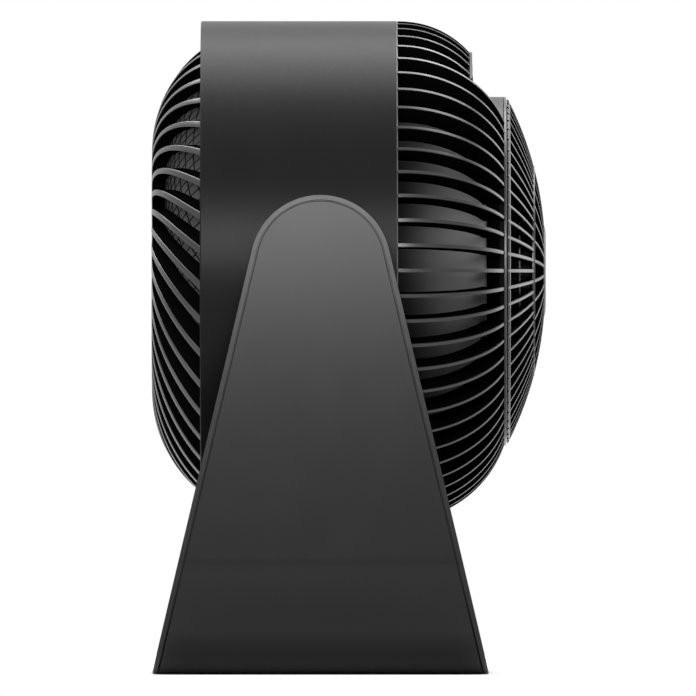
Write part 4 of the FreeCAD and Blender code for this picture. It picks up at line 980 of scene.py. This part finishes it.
# %% Rear ribs, hub, seal and flange
rear_hub_outline = [(REAR_BACK, 0), (REAR_BACK, REAR_HUB - REAR_HUB_EDGE),
                    (REAR_BACK + REAR_HUB_BEVEL, REAR_HUB - REAR_HUB_BEVEL),
                    (REAR_BACK + REAR_HUB_EDGE, REAR_HUB), (REAR_INNER, REAR_HUB), (REAR_INNER, 0)]
seal_outline = [(SEAL_BACK, SEAL_BORE), (SEAL_BACK, SEAL_OUTER), (FLANGE_FRONT, SEAL_OUTER),
                (FLANGE_FRONT, SEAL_BORE)]
flange_outline = [(FLANGE_BACK, FLANGE_BORE), (FLANGE_BACK, 112.6), (-59.7, FLANGE_OUTER),
                  (REAR_START, FLANGE_OUTER), (REAR_START, FLANGE_FOOT), (FLANGE_FRONT, FLANGE_FOOT),
                  (FLANGE_FRONT, FLANGE_BORE)]
rear = gathered("rear_ribs", [
    repeated(rear_rib(), {"Count": REAR_RIBS}),
    lathe("rear_hub", rear_hub_outline),
    # The seal behind the rear ribs is in painted shade.
    lathe("screen_seal", seal_outline, coat="painted_shade_flank"),
    lathe("rear_skirt", flange_outline)])
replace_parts(place_piece("rear_ribs", rear, "head"), "rear_grille")

# %% [markdown]
# ## Nets
# Behind the rear ribs the photograph shows a dark lattice of diamonds over a grey screen, and the outlet in
# front is too dark to see through. Both are nets pressed over a dome, so one Geometry Nodes tree makes them:
# a flat grid is turned and stretched into its cells, dropped on the dome, cut to a circle, and each edge
# becomes a wire. A pattern in the shader would stay flat at the outline and in close views.

# %% A tree that lays a net over a dome
WIRE_SIDES = 5


def net_over_dome():
    inputs = (("Start", "Geometry", None), ("Cells", "Int", 60), ("Cell", "Float", 0.003),
              ("Turn", "Float", 0.0), ("Stretch", "Float", 1.0), ("Wire", "Float", 0.0003),
              ("Along", "Float", 0.0), ("Dome", "Float", 0.1), ("Flat", "Float", 0.0), ("Way", "Float", 1.0),
              ("Edge", "Float", 0.08), ("Height", "Float", PIVOT.z), ("Finish", "Material", None))
    tree = new_group("net_over_dome", "GeometryNodeTree", inputs, [("Net", "Geometry")])
    given = add(tree, "NodeGroupInput").outputs
    size = sums(tree, "MULTIPLY", given["Cells"], given["Cell"])
    lines = sums(tree, "ADD", given["Cells"], 1.0)
    grid = add(tree, "GeometryNodeMeshGrid", {"Size X": size, "Size Y": size, "Vertices X": lines,
                                              "Vertices Y": lines})
    turn = add(tree, "ShaderNodeCombineXYZ", {"Z": given["Turn"]})
    turned = add(tree, "GeometryNodeTransform", {"Geometry": grid.outputs["Mesh"],
                                                 "Rotation": turn.outputs[0]})
    place = add(tree, "ShaderNodeSeparateXYZ", {0: add(tree, "GeometryNodeInputPosition").outputs[0]})
    across = sums(tree, "MULTIPLY", place.outputs["X"], given["Stretch"])
    up = place.outputs["Y"]
    square = sums(tree, "ADD", sums(tree, "MULTIPLY", across, across), sums(tree, "MULTIPLY", up, up))
    radius = sums(tree, "SQRT", square)
    out = sums(tree, "MAXIMUM", sums(tree, "SUBTRACT", radius, given["Flat"]), 0.0)
    under = sums(tree, "SUBTRACT", sums(tree, "MULTIPLY", given["Dome"], given["Dome"]),
                 sums(tree, "MULTIPLY", out, out))
    rise = sums(tree, "SQRT", sums(tree, "MAXIMUM", under, 0.0))
    forward = sums(tree, "MULTIPLY_ADD", rise, given["Way"], given["Along"])
    laid = add(tree, "ShaderNodeCombineXYZ", {"X": across, "Y": sums(tree, "MULTIPLY", forward, -1.0),
                                              "Z": sums(tree, "ADD", up, given["Height"])})
    beyond = add(tree, "FunctionNodeCompare", {0: radius, 1: given["Edge"]}, data_type="FLOAT",
                 operation="GREATER_THAN")
    cut = add(tree, "GeometryNodeDeleteGeometry", {"Geometry": turned.outputs[0],
                                                   "Selection": beyond.outputs[0]}, domain="POINT")
    draped = add(tree, "GeometryNodeSetPosition", {"Geometry": cut.outputs[0], "Position": laid.outputs[0]})
    threads = add(tree, "GeometryNodeMeshToCurve", {0: draped.outputs[0]})
    gauge = add(tree, "GeometryNodeCurvePrimitiveCircle", {"Resolution": WIRE_SIDES, "Radius": given["Wire"]})
    wires = add(tree, "GeometryNodeCurveToMesh", {"Curve": threads.outputs[0],
                                                  "Profile Curve": gauge.outputs[0]})
    real = add(tree, "GeometryNodeRealizeInstances", {0: wires.outputs[0]})
    coat = add(tree, "GeometryNodeSetMaterial", {"Geometry": real.outputs[0], "Material": given["Finish"]})
    add(tree, "NodeGroupOutput", {0: coat.outputs[0]})
    return tree


NET = net_over_dome()
print("tree:", NET.name, len(NET.nodes), "nodes")

# %% The two nets
OUTLET_SET_BACK = 6.6
OUTLET_EDGE = 81.2
LATTICE_DOME = 57.75
LATTICE_EDGE = 105.0


def net(name, **values):
    mesh = run_tree(NET, bpy.data.meshes.new("start"), values)
    mesh.shade_smooth()
    mesh.name = name
    return mesh


outlet = net("outlet_net", Cells=84, Cell=2.0 * MM, Wire=0.42 * MM,
             Along=(CROWN - DOME_ARC - OUTLET_SET_BACK) * MM, Dome=DOME_ARC * MM, Flat=DOME_FLAT * MM,
             Way=1.0, Edge=OUTLET_EDGE * MM, Finish=finishes["screen_wire"])
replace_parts(place_piece("outlet_net", outlet, "head"), "outlet_screen")
lattice = net("rear_lattice", Cells=44, Cell=5.8 * MM, Turn=math.pi / 4, Stretch=0.8, Wire=0.44 * MM,
              Along=(REAR_BACK + REAR_CORNER) * MM, Dome=LATTICE_DOME * MM, Flat=REAR_FLAT * MM, Way=-1.0,
              Edge=LATTICE_EDGE * MM, Finish=finishes["lattice_wire"])
place_piece("rear_lattice", lattice, "head")
